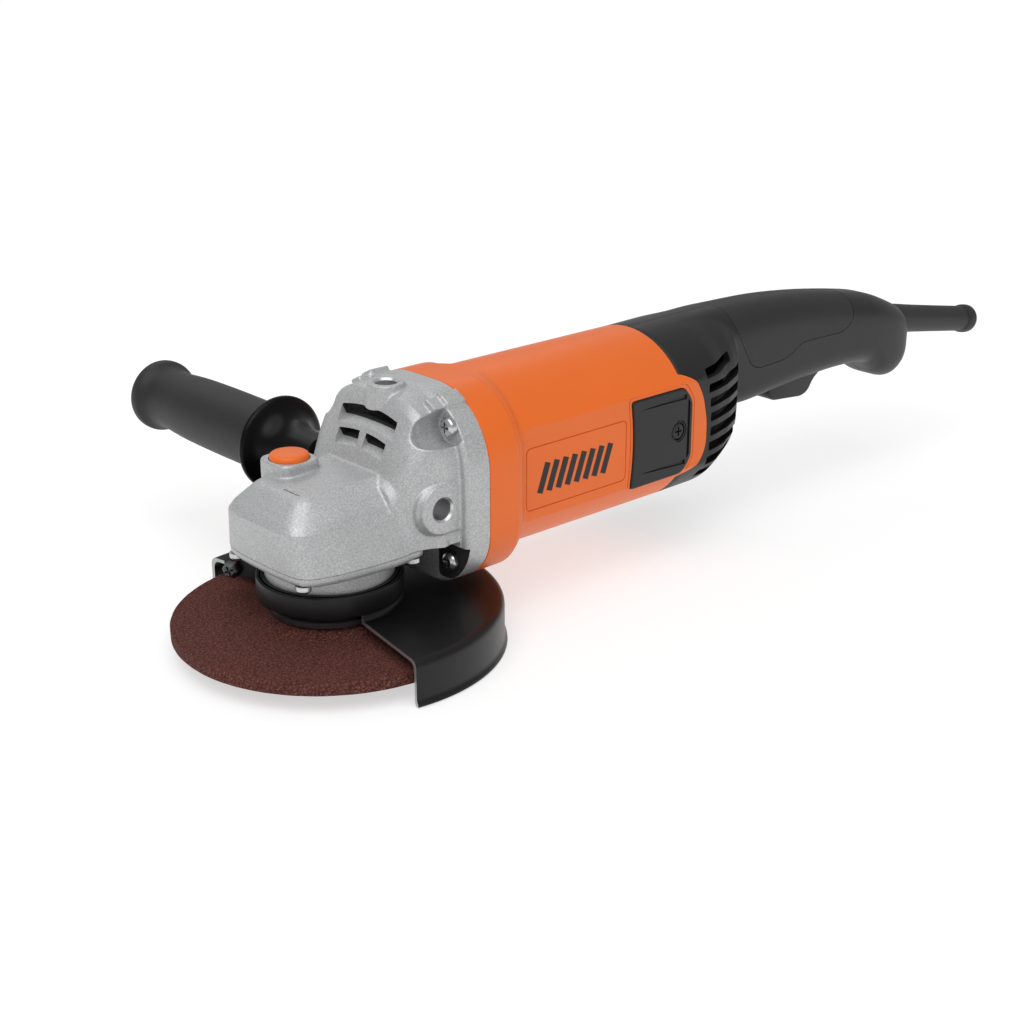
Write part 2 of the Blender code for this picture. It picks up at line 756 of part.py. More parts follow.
def motor_housing():
    shell = loft([
        flange_section(FLANGE_JOINT + GAP / 2),
        flange_section(FLANGE_REAR - 1.0),
        flange_section(FLANGE_REAR, 0.6),
        barrel_section(BARREL_X),
        barrel_section(BARREL_END - GAP / 2),
    ])
    obj = to_object("motor_housing", shell, orange_plastic())
    join(obj, *side_plates(lobe_outline(), BARREL_HALF - WALL, BARREL_HALF))
    bore = loft([barrel_section(50.0, WALL), barrel_section(BARREL_END + 4.0, WALL)])
    hollow = to_object("housing_hollow", bore, None)
    cut(hollow, box((189.5, -18.0, 10.0), (196.5, 18.0, 120.0)),
        box((189.5, -60.0, 55.5), (196.5, 60.0, 69.5)))
    cut(obj, shape_of(hollow))
    cut(obj, cylinder(13.3, 180.0, 200.0, "X", (0, 0, MOTOR_Z), 24),
        *side_plates(brush_cover_outline(GAP), BARREL_HALF - 7.0, BARREL_HALF + 5.0))
    holes = [cylinder(2.7, 50.0, 76.5, "X", (0, y, z), 12) for y, z in case_screw_places()]
    holes += [cylinder(1.9, low, high, "Y", (COVER_SCREW_X, 0, BRUSH_COVER_Z), 10)
              for low, high in ((24, 60), (-60, -24))]
    return cut(obj, *holes)


def brush_covers():
    plate = prism(brush_cover_outline(), "Y", -BARREL_HALF - 0.9, -BARREL_HALF + 2.6)
    obj = to_object("brush_cover_left", plate, black_plastic())
    cut(obj, cylinder(1.9, -60.0, -30.0, "Y", (COVER_SCREW_X, 0, BRUSH_COVER_Z), 12),
        cylinder(4.8, -60.0, -BARREL_HALF + 0.6, "Y", (COVER_SCREW_X, 0, BRUSH_COVER_Z), 16))
    mirrored(obj, "brush_cover_right")
    for side, word in ((-1, "left"), (1, "right")):
        tip = (COVER_SCREW_X, side * (BARREL_HALF + 0.9), BRUSH_COVER_Z)
        screw(f"brush_cover_screw_{word}", tip, (0, -side, 0), 4.2, 1.3, 1.6, 14.0, bright_steel())


def stator():
    """The laminated core, with slots for the two field coils, and the coils through them."""
    low, high = CORE_X
    shape = loft([barrel_section(low, WALL + 0.4), barrel_section(high, WALL + 0.4)])
    obj = to_object("stator_core", shape, dark_steel())
    slots = []
    for half_turn in (0, 180):
        for first in (18.5, 133.5):
            slots.append(oriented(
                turned(ring_profile(20.0, 33.6, low - 5, high + 5), 4, first + half_turn + 90, 28.0),
                "X", (0, 0, MOTOR_Z)))
    cut(obj, cylinder(CORE_BORE, low - 9, high + 9, "X", (0, 0, MOTOR_Z), 36), *slots)
    for first, word in ((90, "upper"), (270, "lower")):
        winding = turned(ring_profile(24.6, 33.0, low - 8.5, high + 8.5), 16, first + 20.0, 140.0)
        field = to_object(f"field_coil_{word}", oriented(winding, "X", (0, 0, MOTOR_Z)), copper())
        window = turned(ring_profile(15.0, 45.0, low - 0.6, high + 0.6), 12, first + 45.0, 90.0)
        cut(field, oriented(window, "X", (0, 0, MOTOR_Z)))


def on_shaft(name, profile, look, steps):
    centre = (0, 0, MOTOR_Z)
    to_object(name, oriented(turned(profile, steps), "X", centre), look, centre)


def armature():
    low, high = CORE_X
    on_shaft("armature_shaft", [(0, 20.5), (4.0, 20.5), (4.4, 21.0), (4.4, 36.4), (6.0, 36.4), (6.0, 80.0),
                                (6.5, 80.0), (6.5, 188.0), (5.0, 188.0), (5.0, 201.0), (0, 201.0)],
             bright_steel(), 16)
    on_shaft("armature_core", ring_profile(6.8, 22.3, low, high), dark_steel(), 26)
    front_end, rear_start = low - GAP, high + GAP
    on_shaft("armature_winding_front", [(6.8, 85.5), (16.0, 85.5), (20.0, 88.5), (20.8, front_end),
                                        (6.8, front_end)], copper(), 20)
    on_shaft("armature_winding_rear", [(6.8, rear_start), (20.8, rear_start), (20.0, 158.5), (14.0, 161.5),
                                       (6.8, 161.5)], copper(), 20)
    on_shaft("commutator", [(6.8, 162.5), (15.5, 162.5), (15.5, 165.5), (13.5, 166.5), (13.5, 186.5),
                            (6.8, 186.5)], copper(), 22)
    on_shaft("front_bearing", ring_profile(6.2, 16.0, 47.0, 57.6, 0.6), bright_steel(), 22)
    on_shaft("rear_bearing", ring_profile(5.2, 13.0, 190.0, 198.5), bright_steel(), 20)


def cooling_fan():
    """A disc with straight blades on its rear face."""
    blades = 11
    levels = [
        ((6.2, 62.0), (6.2, 62.0)),
        ((37.0, 62.0), (37.0, 62.0)),
        ((37.0, 64.0), (37.0, 75.0)),
        ((17.0, 64.0), (17.0, 75.0)),
        ((12.0, 66.0), (12.0, 66.0)),
        ((12.0, 78.0), (12.0, 78.0)),
        ((6.2, 78.0), (6.2, 78.0)),
    ]
    shape = toothed_ring(levels, blades, bevel_fractions(0.16, 0.12))
    return to_object("cooling_fan", oriented(shape, "X", (0, 0, MOTOR_Z)), black_plastic(), (0, 0, MOTOR_Z))


def fan_baffle():
    """The ring behind the fan that draws the air through the motor."""
    shape = loft([barrel_section(79.5, WALL + 0.5), barrel_section(82.0, WALL + 0.5)])
    obj = to_object("fan_baffle", shape, black_plastic())
    return cut(obj, cylinder(24.0, 60.0, 90.0, "X", (0, 0, MOTOR_Z), 32))


def brush_gear():
    """Each carbon brush slides in a brass holder and a spring presses it on the commutator."""
    low, high = 15.0, 35.2
    half_x, half_z = 5.6, 8.4
    for side, word in ((-1, "left"), (1, "right")):
        ends = sorted((side * low, side * high))
        block = box((BRUSH_X - half_x, ends[0], MOTOR_Z - half_z),
                    (BRUSH_X + half_x, ends[1], MOTOR_Z + half_z))
        holder = to_object(f"brush_holder_{word}", block, brass())
        slot = sorted((side * (low - 3), side * (high - 1.4)))
        cut(holder, box((BRUSH_X - half_x + 1.4, slot[0], MOTOR_Z - half_z + 1.4),
                        (BRUSH_X + half_x - 1.4, slot[1], MOTOR_Z + half_z - 1.4)))
        ends = sorted((side * 13.9, side * 26.0))
        brush = box((BRUSH_X - 3.9, ends[0], MOTOR_Z - 6.7), (BRUSH_X + 3.9, ends[1], MOTOR_Z + 6.7))
        to_object(f"carbon_brush_{word}", brush, carbon(), (BRUSH_X, side * 13.9, MOTOR_Z))
        start = 26.2 if side > 0 else -33.6
        coil(f"brush_spring_{word}", (BRUSH_X, start, MOTOR_Z), "Y", 2.9, 0.45, 7.4, 3.5, bright_steel())


# ---------------------------------------------------------------- rear handle

def tail_cap(inset=0.0):
    """The round tail behind the motor that the grip grows out of."""
    first = BARREL_END + GAP / 2 - (8.0 if inset else 0.0)
    sizes = [
        (first, 40.0, 17.05, 109.55), (224.0, 40.0, 17.3, 110.0), (236.0, 38.2, 19.5, 110.2),
        (246.0, 34.2, 24.5, 110.2), (253.0, 28.5, 31.5, 110.0), (257.5, 21.5, 41.0, 109.5),
        (259.5, 15.0, 52.0, 106.0),
    ]
    rings = []
    for x, half, low, high in sizes:
        radius = (high - low) / 2 - inset if x < 230 else half - inset
        width = half - inset
        rings.append(section(x - (inset if x > 230 else 0.0), width, low + inset, high - inset,
                             0.0, radius, 0.0, radius))
    return loft(rings)


def grip_body(inset=0.0):
    sizes = [
        (226.0, 20.0, 72.0, 109.6, 15.0, 8.0), (250.0, 21.5, 60.0, 110.2, 17.0, 8.0),
        (268.0, 21.0, 55.5, 110.0, 17.0, 8.0), (300.0, 20.2, 56.5, 108.9, 16.0, 9.0),
        (330.0, 19.6, 57.5, 106.3, 16.0, 10.0), (358.0, 19.4, 58.0, 102.5, 16.0, 10.0),
        (384.0, 19.6, 56.5, 98.0, 16.0, 10.0), (394.0, 19.6, 51.0, 95.6, 16.0, 12.0),
        (403.0, 19.4, 44.5, 92.6, 16.0, 13.0), (413.0, 18.8, 41.3, 88.6, 16.0, 14.0),
        (421.0, 17.4, 43.0, 85.0, 15.0, 14.0), (427.0, 14.4, 48.0, 81.0, 12.0, 12.0),
        (430.5, 10.0, 54.5, 77.0, 9.0, 9.0),
    ]
    rings = []
    for x, half, low, high, top_r, low_r in sizes:
        squeeze = inset if x > 428.0 else 0.0
        rings.append(rounded_section(x - squeeze, half - inset, low + inset, high - inset,
                                     max(top_r - inset, 3.0), max(low_r - inset, 3.0)))
    return loft(rings)


def pad_outline(grow=0.0):
    """The soft panel's edge on the grip's side, running up and over the top."""
    outline = [(259.5 - grow, 130), (259.5 - grow, 101), (273.0 - grow, 78 - grow), (279.0, 75.4 - grow),
               (302.0, 75.0 - grow), (318.0, 82.8 - grow), (356.0 + grow, 81.0 - grow),
               (365.0 + grow, 92.0 - grow), (372.0 + grow, 130)]
    return rounded(outline, 3.0, 1)


def trigger_opening():
    return box((299.0, -12.3, 30.0), (352.0, 12.3, 74.0))


def boot_frame():
    """Places a shape built along Z so that it runs out along the boot's tilted line."""
    x, z = BOOT_START
    return Matrix.Translation((x, 0, z)) @ Matrix.Rotation(math.radians(90 + BOOT_TILT), 4, "Y")


def along_boot(profile):
    shape = turned(profile, 16)
    bmesh.ops.transform(shape, verts=shape.verts, matrix=boot_frame())
    return shape


def boot_seat():
    """The grooved hole that holds the boot's neck."""
    profile = [(0, -12), (9.4, -12), (9.4, -6.6), (7.9, -6.6), (7.9, -3), (9.4, -3), (9.4, 20), (0, 20)]
    return along_boot(profile)


def louvre_slots():
    """Slanted slots round the rear corners of the tail, on both sides."""
    slots = []
    for side in (-1, 1):
        for k in range(8):
            z = 88.6 - 8.0 * k
            front = 214.0 + 5.0 * math.sin(math.pi * (k + 0.5) / 8)
            rear = 252.0 if 0 < k < 6 else 246.0
            low, high = sorted((side * 24.0, side * 60.0))
            slots.append(prism([(front, z - 2.1), (rear, z + 1.2), (rear, z + 4.4), (front, z + 1.3)],
                               "Y", low, high))
    return slots


def handle_shells():
    """Two half shells that meet on the middle plane."""
    obj = to_object("handle_shell_left", tail_cap(), black_plastic())
    join(obj, grip_body())
    cut(obj, tail_cap(WALL), *side_plates(lobe_outline(GAP), BARREL_HALF - WALL - 0.6, BARREL_HALF + 5))
    panel = to_object("soft_grip", grip_body(0.02), soft_rubber())
    keep(panel, prism(pad_outline(), "Y", -40, 40))
    cut(panel, grip_body(2.6))
    recess = to_object("grip_recess", grip_body(-2.0), None)
    keep(recess, prism(pad_outline(GAP), "Y", -40, 40))
    cut(recess, grip_body(2.9))
    cut(obj, shape_of(recess))
    cut(obj, grip_body(5.4))
    cut(obj, trigger_opening(), boot_seat(), *louvre_slots(),
        cylinder(2.3, -15.4, 15.4, "Y", (TRIGGER_PIVOT[0], 0, TRIGGER_PIVOT[1]), 12))
    whole = obj.data.copy()
    half = (box((150, -60, -20), (460, -GAP / 2, 140)), box((150, GAP / 2, -20), (460, 60, 140)))
    keep(obj, half[0])
    other = bpy.data.objects.new("handle_shell_right", whole)
    bpy.context.scene.collection.objects.link(other)
    keep(other, half[1])
    for shell, side in ((obj, -1), (other, 1)):
        posts, bores = [], []
        for x, z in HANDLE_SCREWS:
            low, high = sorted((side * GAP / 2, side * 15.6))
            posts.append(cylinder(4.6, low, high, "Y", (x, 0, z), 14))
            low, high = sorted((-side * 5.0, side * (13.0 if side < 0 else 40.0)))
            bores.append(cylinder(1.9, low, high, "Y", (x, 0, z), 10))
        join(shell, *posts)
        if side > 0:
            bores += [cylinder(3.9, 16.6, 40.0, "Y", (x, 0, z), 12) for x, z in HANDLE_SCREWS]
        cut(shell, *bores)
    for word, (x, z) in zip(("front", "rear"), HANDLE_SCREWS):
        screw(f"handle_screw_{word}", (x, 19.3, z), (0, -1, 0), 3.4, 2.4, 1.6, 30.0, dark_steel())


def trigger(pivot):
    """The paddle switch under the grip, on a cross pin at its front end."""
    outline = [(300.5, 68.0), (300.5, 52.0), (305.0, 48.6), (331.0, 46.0), (336.5, 48.0), (341.0, 54.5),
               (349.5, 60.0), (349.5, 63.6), (330.0, 66.5), (314.0, 68.5)]
    obj = to_object("trigger", prism(rounded(outline, 2.5, 2), "Y", -11.8, 11.8), black_plastic(), pivot)
    cut(obj, cylinder(2.3, -20, 20, "Y", pivot, 12))


def trigger_parts():
    pivot = (TRIGGER_PIVOT[0], 0, TRIGGER_PIVOT[1])
    trigger(pivot)
    to_object("trigger_pin", cylinder(2.0, -14.8, 14.8, "Y", pivot, 10), bright_steel(), pivot)
    to_object("switch_body", box((304.0, -10.0, 76.5), (346.0, 10.0, 95.0)), black_plastic())
    coil("trigger_spring", (334.0, 0, 66.9), "Z", 3.2, 0.5, 9.3, 4.0, bright_steel())


def cord_guard():
    """The rubber strain-relief boot, with its flange held inside the shells and a bead at its end."""
    profile = [
        (3.8, -10.0), (9.0, -10.0), (9.0, -7.0), (7.5, -7.0), (7.5, -2.6), (9.0, -2.6), (9.0, 4.0),
        (8.1, BOOT_LENGTH - 9.0), (9.0, BOOT_LENGTH - 7.0), (9.0, BOOT_LENGTH - 2.0), (7.6, BOOT_LENGTH),
        (3.8, BOOT_LENGTH),
    ]
    to_object("cord_guard", along_boot(profile), soft_rubber())


# ---------------------------------------------------------------- side handle

def side_handle():
    place = (SOCKET_X, 0, SOCKET_Z)
    profile = [
        (4.3, SOCKET_FACE + GAP), (10.0, SOCKET_FACE + GAP), (10.0, 48.0), (12.6, 49.0), (12.6, 68.0),
        (16.0, 80.0), (24.0, 83.4),
        (24.6, 85.0), (24.0, 87.2), (17.6, 89.0), (17.8, 135.0), (17.4, 162.0), (15.7, 187.0),
        (19.2, 193.0), (19.4, 198.5), (16.0, 201.6), (0, 201.6), (0, 96.0), (4.3, 96.0),
    ]
    to_object("side_handle_grip", oriented(turned(profile, 22), "Y", place), soft_rubber(), place)
    stud = [(0, 30.0), (4.0, 30.0), (4.0, 95.0), (0, 95.0)]
    to_object("side_handle_stud", oriented(turned(stud, 14), "Y", place), bright_steel(), place)


def main():
    clear_scene()
    gear_case()
    gear_cover()
    head_screws()
    spindle()
    crown_gear()
    pinion_gear()
    head_bearings()
    inner_flange()
    grinding_wheel()
    clamp_nut()
    spindle_lock()
    wheel_guard()
    guard_clamp()
    motor_housing()
    brush_covers()
    stator()
    armature()
    cooling_fan()
    fan_baffle()
    brush_gear()
    handle_shells()
    trigger_parts()
    cord_guard()
    side_handle()


main()
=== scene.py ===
"""Finished look of a long-body angle grinder, laid out as a Blender add-on.

Shapes are worked out in millimetres and stored in metres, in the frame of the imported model: the origin
is the flat end of the spindle, +X runs along the motor to the rear handle, +Y to the side handle.
"""

import math

import bmesh
import bpy
from bpy.props import FloatProperty, FloatVectorProperty, IntProperty, PointerProperty
from bpy.types import Operator, Panel, PropertyGroup
from mathutils import Matrix, Vector


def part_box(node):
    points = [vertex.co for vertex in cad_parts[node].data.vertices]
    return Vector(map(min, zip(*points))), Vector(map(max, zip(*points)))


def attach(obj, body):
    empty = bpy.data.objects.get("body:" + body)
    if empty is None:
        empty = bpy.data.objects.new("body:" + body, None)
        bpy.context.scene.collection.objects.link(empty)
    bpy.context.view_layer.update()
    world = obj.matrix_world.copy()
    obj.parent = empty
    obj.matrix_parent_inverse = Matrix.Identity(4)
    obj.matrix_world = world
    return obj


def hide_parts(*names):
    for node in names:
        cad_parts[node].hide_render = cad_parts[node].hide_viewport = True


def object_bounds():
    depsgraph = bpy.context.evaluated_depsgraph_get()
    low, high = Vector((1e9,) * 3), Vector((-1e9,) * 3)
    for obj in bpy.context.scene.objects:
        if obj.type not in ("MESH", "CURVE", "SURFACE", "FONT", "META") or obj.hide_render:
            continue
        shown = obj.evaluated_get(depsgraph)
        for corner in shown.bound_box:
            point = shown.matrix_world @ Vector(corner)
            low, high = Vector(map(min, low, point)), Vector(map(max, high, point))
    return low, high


bl_info = {
    "name": "Angle grinder",
    "version": (1, 0, 0),
    "blender": (4, 5, 0),
    "location": "3D View > Sidebar > Grinder",
    "description": "Builds the finished surfaces of an angle grinder on its packed frame",
    "category": "Add Mesh",
}

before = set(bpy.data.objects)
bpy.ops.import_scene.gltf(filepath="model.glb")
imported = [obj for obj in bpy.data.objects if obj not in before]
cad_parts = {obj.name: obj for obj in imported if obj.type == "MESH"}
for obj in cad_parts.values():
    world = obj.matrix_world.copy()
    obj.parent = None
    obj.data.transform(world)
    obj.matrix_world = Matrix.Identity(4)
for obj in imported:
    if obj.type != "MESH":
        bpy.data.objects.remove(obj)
CAD_BOX = [list(corner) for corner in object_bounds()]

MM = 0.001
GAP = 0.3
WALL = 3.0
SIDES = (-1, 1)
SIDE_WORDS = ((-1, "left"), (1, "right"))


def node_box(name):
    """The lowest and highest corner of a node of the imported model, in millimetres."""
    return [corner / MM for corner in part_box(name)]


def middle(name, axis):
    low, high = node_box(name)
    return (low[axis] + high[axis]) / 2


MOTOR_Z = middle("armature_shaft", 2)
SOCKET_X = middle("side_handle_stud", 0)
SOCKET_Z = middle("side_handle_stud", 2)
LOCK_X = middle("lock_pin", 0)
LOCK_Y = middle("lock_pin", 1)
BUTTON_LOW, BUTTON_TOP = (corner[2] for corner in node_box("lock_button"))
BUTTON_R = (node_box("lock_button")[1][0] - node_box("lock_button")[0][0]) / 2
COVER_TOP = node_box("gear_case_cover")[1][2]
SEAM_Z = COVER_TOP + GAP
FLANGE_JOINT = node_box("motor_housing")[0][0] - GAP / 2
BARREL_END = node_box("handle_shell_left")[0][0] - GAP / 2
BARREL_HALF = 40.0
BARREL_R = 46.25
FLANGE_HALF = 47.0
FLANGE_TOP_R = 36.7
FLANGE_LOW_R = 27.5
FLANGE_REAR = 78.0
CASE_SCREW_Y = 34.5
CASE_SCREW_DZ = 33.0
COVER_SCREWS = [(-33.2, -26.0), (-33.2, 26.0), (22.8, -33.0), (22.8, 33.0)]
TOP_SOCKET = (36.0, 0, 0)
TOP_SOCKET_FACE = 111.9
SIDE_SOCKET_FACE = 42.3
SOCKET_BORE_R = 5.2
BRUSH_COVER_Z = 62.5
BRUSH_SCREW_X = 193.0
TRIGGER_PIVOT = (308.0, 62.5)
HANDLE_SCREWS = ((284.0, 66.0), (378.0, 72.0))
BOOT_START = (428.0, 73.2)
BOOT_TILT = 10.0
BOOT_LENGTH = 86.0
GUARD_R = 81.5
GUARD_HALF_ANGLE = 100.0
GUARD_LIP = node_box("wheel_guard")[0][2]
CLAMP_ANGLE = 116.0
CLAMP_R = 49.0
HAND_STOP_END = 87.6


# ---------------------------------------------------------------- settings

def colour_setting(label, use, colour):
    return FloatVectorProperty(name=label, description=use, default=colour, size=3, min=0.0, max=1.0,
                               subtype="COLOR")


class GrinderColours(PropertyGroup):
    """Base colours of the finishes."""

    housing: colour_setting("Housing", "Moulded motor housing and lock button", (0.77, 0.140, 0.012))
    casting: colour_setting("Casting", "Gear case and its cover", (0.47, 0.475, 0.48))
    plastic: colour_setting("Plastic", "Handle shells, covers and trigger", (0.0072, 0.0072, 0.0080))
    rubber: colour_setting("Rubber", "Grip panel, cord guard and side handle", (0.0145, 0.0145, 0.0156))
    guard: colour_setting("Guard", "Paint of the wheel guard and its band", (0.0022, 0.0022, 0.0026))
    wheel: colour_setting("Wheel", "Bonded abrasive of the wheel", (0.085, 0.020, 0.0145))
    steel: colour_setting("Steel", "Screws, shafts and springs", (0.58, 0.58, 0.59))
    oxide: colour_setting("Dark steel", "Gears, flanges, nut and laminations", (0.10, 0.10, 0.105))
    copper: colour_setting("Copper", "Windings and commutator", (0.72, 0.30, 0.14))
    brass: colour_setting("Brass", "Brush holders", (0.60, 0.42, 0.16))
    carbon: colour_setting("Carbon", "Brushes", (0.03, 0.03, 0.03))


class GrinderSizes(PropertyGroup):
    """Sizes that change how fine or how soft the pieces are."""

    cast_grain: FloatProperty(name="Casting step", description="Step of the skin laid over the gear case",
                              default=0.0006, min=0.0004, max=0.002, unit="LENGTH")
    cast_softness: IntProperty(name="Casting softness", description="Passes that round the cast edges",
                               default=4, min=0, max=30)
    shell_grain: FloatProperty(name="Shell step", description="Step of the skin laid over the rear handle",
                               default=0.0011, min=0.0006, max=0.003, unit="LENGTH")
    shell_softness: IntProperty(name="Shell softness", description="Passes that round the moulded edges",
                                default=14, min=0, max=40)
    round_steps: IntProperty(name="Round steps", description="Facets round a full turn of a turned piece",
                             default=128, min=32, max=256)
    badge_bars: IntProperty(name="Badge bars", description="Slanted bars in the panel on the housing",
                            default=8, min=1, max=20)
    commutator_bars: IntProperty(name="Commutator bars", description="Copper segments round the commutator",
                                 default=24, min=8, max=48)
    drive_width: FloatProperty(name="Drive width", description="Width of a slot of the screws' cross",
                               default=0.0009, min=0.0003, max=0.002, unit="LENGTH")


def sizes():
    return bpy.context.scene.grinder_sizes


def colours():
    return bpy.context.scene.grinder_colours


# ---------------------------------------------------------------- node trees

class Signal:
    """A socket of a shader that takes part in sums: each operation adds one Math node."""

    def __init__(self, tree, socket):
        self.tree = tree
        self.socket = socket

    def math(self, operation, first, second):
        return self.tree.add("ShaderNodeMath", {"operation": operation}, {0: first, 1: second})

    def __add__(self, other):
        return self.math("ADD", self, other)

    def __radd__(self, other):
        return self.math("ADD", other, self)

    def __sub__(self, other):
        return self.math("SUBTRACT", self, other)

    def __rsub__(self, other):
        return self.math("SUBTRACT", other, self)

    def __mul__(self, other):
        return self.math("MULTIPLY", self, other)

    def __rmul__(self, other):
        return self.math("MULTIPLY", other, self)

    def above(self, level, width):
        """0 below the level and 1 above it, with a soft step of this width."""
        step = {"interpolation_type": "SMOOTHSTEP"}
        limits = {"Value": self, "From Min": level - width / 2, "From Max": level + width / 2}
        return self.tree.add("ShaderNodeMapRange", step, limits)


class Tree:
    """A node tree being written, for a material or for Geometry Nodes."""

    def __init__(self, tree):
        self.tree = tree

    def add(self, kind, settings=None, inputs=None, out=0):
        """Adds a node, makes its settings, then sets or links its sockets. Returns one output."""
        node = self.tree.nodes.new(kind)
        for key, value in (settings or {}).items():
            setattr(node, key, value)
        for key, value in (inputs or {}).items():
            socket = node.inputs[key]
            for item in value if isinstance(value, list) else [value]:
                if isinstance(item, Signal):
                    self.tree.links.new(item.socket, socket)
                else:
                    socket.default_value = item
        return Signal(self, node.outputs[out]) if len(node.outputs) else node


class Finish(Tree):
    """A material with a Principled shader, whose patterns read the piece's own coordinates."""

    def __init__(self, name):
        self.material = bpy.data.materials.new(name)
        self.material.use_nodes = True
        super().__init__(self.material.node_tree)
        self.shader = self.tree.nodes["Principled BSDF"]
        self.place = self.add("ShaderNodeTexCoord", out="Object")

    def noise(self, grain, detail=2.0, roughness=0.5):
        """Noise whose blotches are about grain millimetres across."""
        values = {"Vector": self.place, "Scale": 1.0 / (grain * MM), "Detail": detail,
                  "Roughness": roughness}
        return self.add("ShaderNodeTexNoise", {}, values)

    def cells(self, grain, out="Distance"):
        """Cells about grain millimetres across."""
        values = {"Vector": self.place, "Scale": 1.0 / (grain * MM)}
        return self.add("ShaderNodeTexVoronoi", {}, values, out)

    def mix(self, factor, first, second):
        """A colour between two, where each may be a colour or a socket."""
        values = {0: factor}
        for key, colour in ((6, first), (7, second)):
            values[key] = colour if isinstance(colour, Signal) else (*colour, 1.0)
        return self.add("ShaderNodeMix", {"data_type": "RGBA"}, values, 2)

    def bump(self, height, depth, strength=1.0):
        """Relief of depth millimetres."""
        values = {"Height": height, "Distance": depth * MM, "Strength": strength}
        return self.add("ShaderNodeBump", {}, values)

    def done(self, **inputs):
        """Sets or links the shader's sockets, named with _ for a space, and gives the material."""
        for key, value in inputs.items():
            socket = self.shader.inputs[key.replace("_", " ").title().replace("Ior", "IOR")]
            if isinstance(value, Signal):
                self.tree.links.new(value.socket, socket)
            else:
                socket.default_value = value
        return self.material


def once(make):
    """Makes a finish only once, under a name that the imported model's materials don't have."""
    label = "grinder_" + make.__name__

    def kept():
        return bpy.data.materials.get(label) or make(Finish(label))
    return kept


def tint(colour, amount):
    return tuple(min(1.0, channel * amount) for channel in colour)


# ---------------------------------------------------------------- finishes

def moulded(finish, colour, rough, grain=0.45, relief=0.02, spread=0.12, gloss=0.4):
    """Moulded plastic: a fine spark-eroded grain, slow drifts of shade and faint dull patches."""
    drift = finish.noise(38.0, 3.0)
    fine = finish.noise(grain, 3.0, 0.6)
    dull = finish.noise(9.0, 4.0, 0.65)
    shade = finish.mix(drift, tint(colour, 1.0 - spread), tint(colour, 1.0 + spread))
    speck = fine.above(0.66, 0.12) * 0.12
    return finish.done(
        base_color=finish.mix(speck, shade, tint(colour, 1.5)),
        roughness=rough - 0.06 + 0.10 * dull + 0.04 * fine,
        specular_ior_level=gloss,
        normal=finish.bump(fine, relief),
    )


@once
def orange_plastic(finish):
    return moulded(finish, colours().housing, 0.40, spread=0.05)


@once
def black_plastic(finish):
    return moulded(finish, colours().plastic, 0.42, 0.5, 0.035)


@once
def soft_rubber(finish):
    return moulded(finish, colours().rubber, 0.52, 0.7, 0.05)


@once
def hard_plastic(finish):
    """A darker, glossier black plastic on the side handle's hand stop and neck."""
    return moulded(finish, tint(colours().plastic, 0.2), 0.28, 0.5, 0.02, gloss=0.15)


@once
def cast_aluminium(finish):
    """Silver paint over a sand-like casting: bright flakes, dark pores and a pebbled relief."""
    colour = colours().casting
    pebble = finish.noise(1.1, 3.0, 0.7)
    flake = finish.noise(0.75, 2.0, 0.7)
    stain = finish.noise(14.0, 4.0, 0.6)
    ground = finish.mix(stain, tint(colour, 0.90), tint(colour, 1.06))
    sparkled = finish.mix(flake.above(0.58, 0.18) * 0.45, ground, tint(colour, 1.5))
    pored = finish.mix((1.0 - flake).above(0.58, 0.18) * 0.4, sparkled, tint(colour, 0.55))
    return finish.done(
        base_color=pored,
        metallic=0.5,
        roughness=0.40 + 0.14 * pebble,
        normal=finish.bump(pebble, 0.035, 0.6),
    )


@once
def shaded_casting(finish):
    """Raw casting deep inside an opening, painted near-black for the shade that falls there, with a faint
    mottle.
    """
    mottle = finish.noise(2.0, 3.0)
    return finish.done(
        base_color=finish.mix(mottle, (0.006, 0.006, 0.006), (0.014, 0.014, 0.014)),
        roughness=0.8 + 0.1 * mottle,
        normal=finish.bump(mottle, 0.05),
    )


@once
def machined_aluminium(finish):
    """Faces and bores left bare by the cutter, with fine turning marks."""
    marks = finish.noise(0.22, 2.0)
    return finish.done(
        base_color=finish.mix(marks, (0.50, 0.50, 0.51), (0.74, 0.74, 0.75)),
        metallic=0.9,
        roughness=0.24 + 0.14 * marks,
        normal=finish.bump(marks, 0.02),
    )


@once
def guard_paint(finish):
    """Satin black enamel with a slight orange peel and a few dull scuffs."""
    colour = colours().guard
    peel = finish.noise(2.2, 2.0)
    scuff = finish.noise(5.0, 6.0, 0.75)
    dust = finish.noise(24.0, 3.0)
    return finish.done(
        base_color=finish.mix(scuff.above(0.62, 0.10) * 0.35 + dust * 0.08, colour, tint(colour, 4.0)),
        roughness=0.27 + 0.16 * scuff,
        specular_ior_level=0.35,
        normal=finish.bump(peel, 0.03, 0.6),
    )


@once
def cut_edge(finish):
    """Bare sheet steel where the guard was cut."""
    marks = finish.noise(0.5, 3.0)
    return finish.done(
        base_color=finish.mix(marks, (0.30, 0.30, 0.30), (0.58, 0.58, 0.57)),
        metallic=0.85,
        roughness=0.32 + 0.15 * marks,
        normal=finish.bump(marks, 0.03),
    )


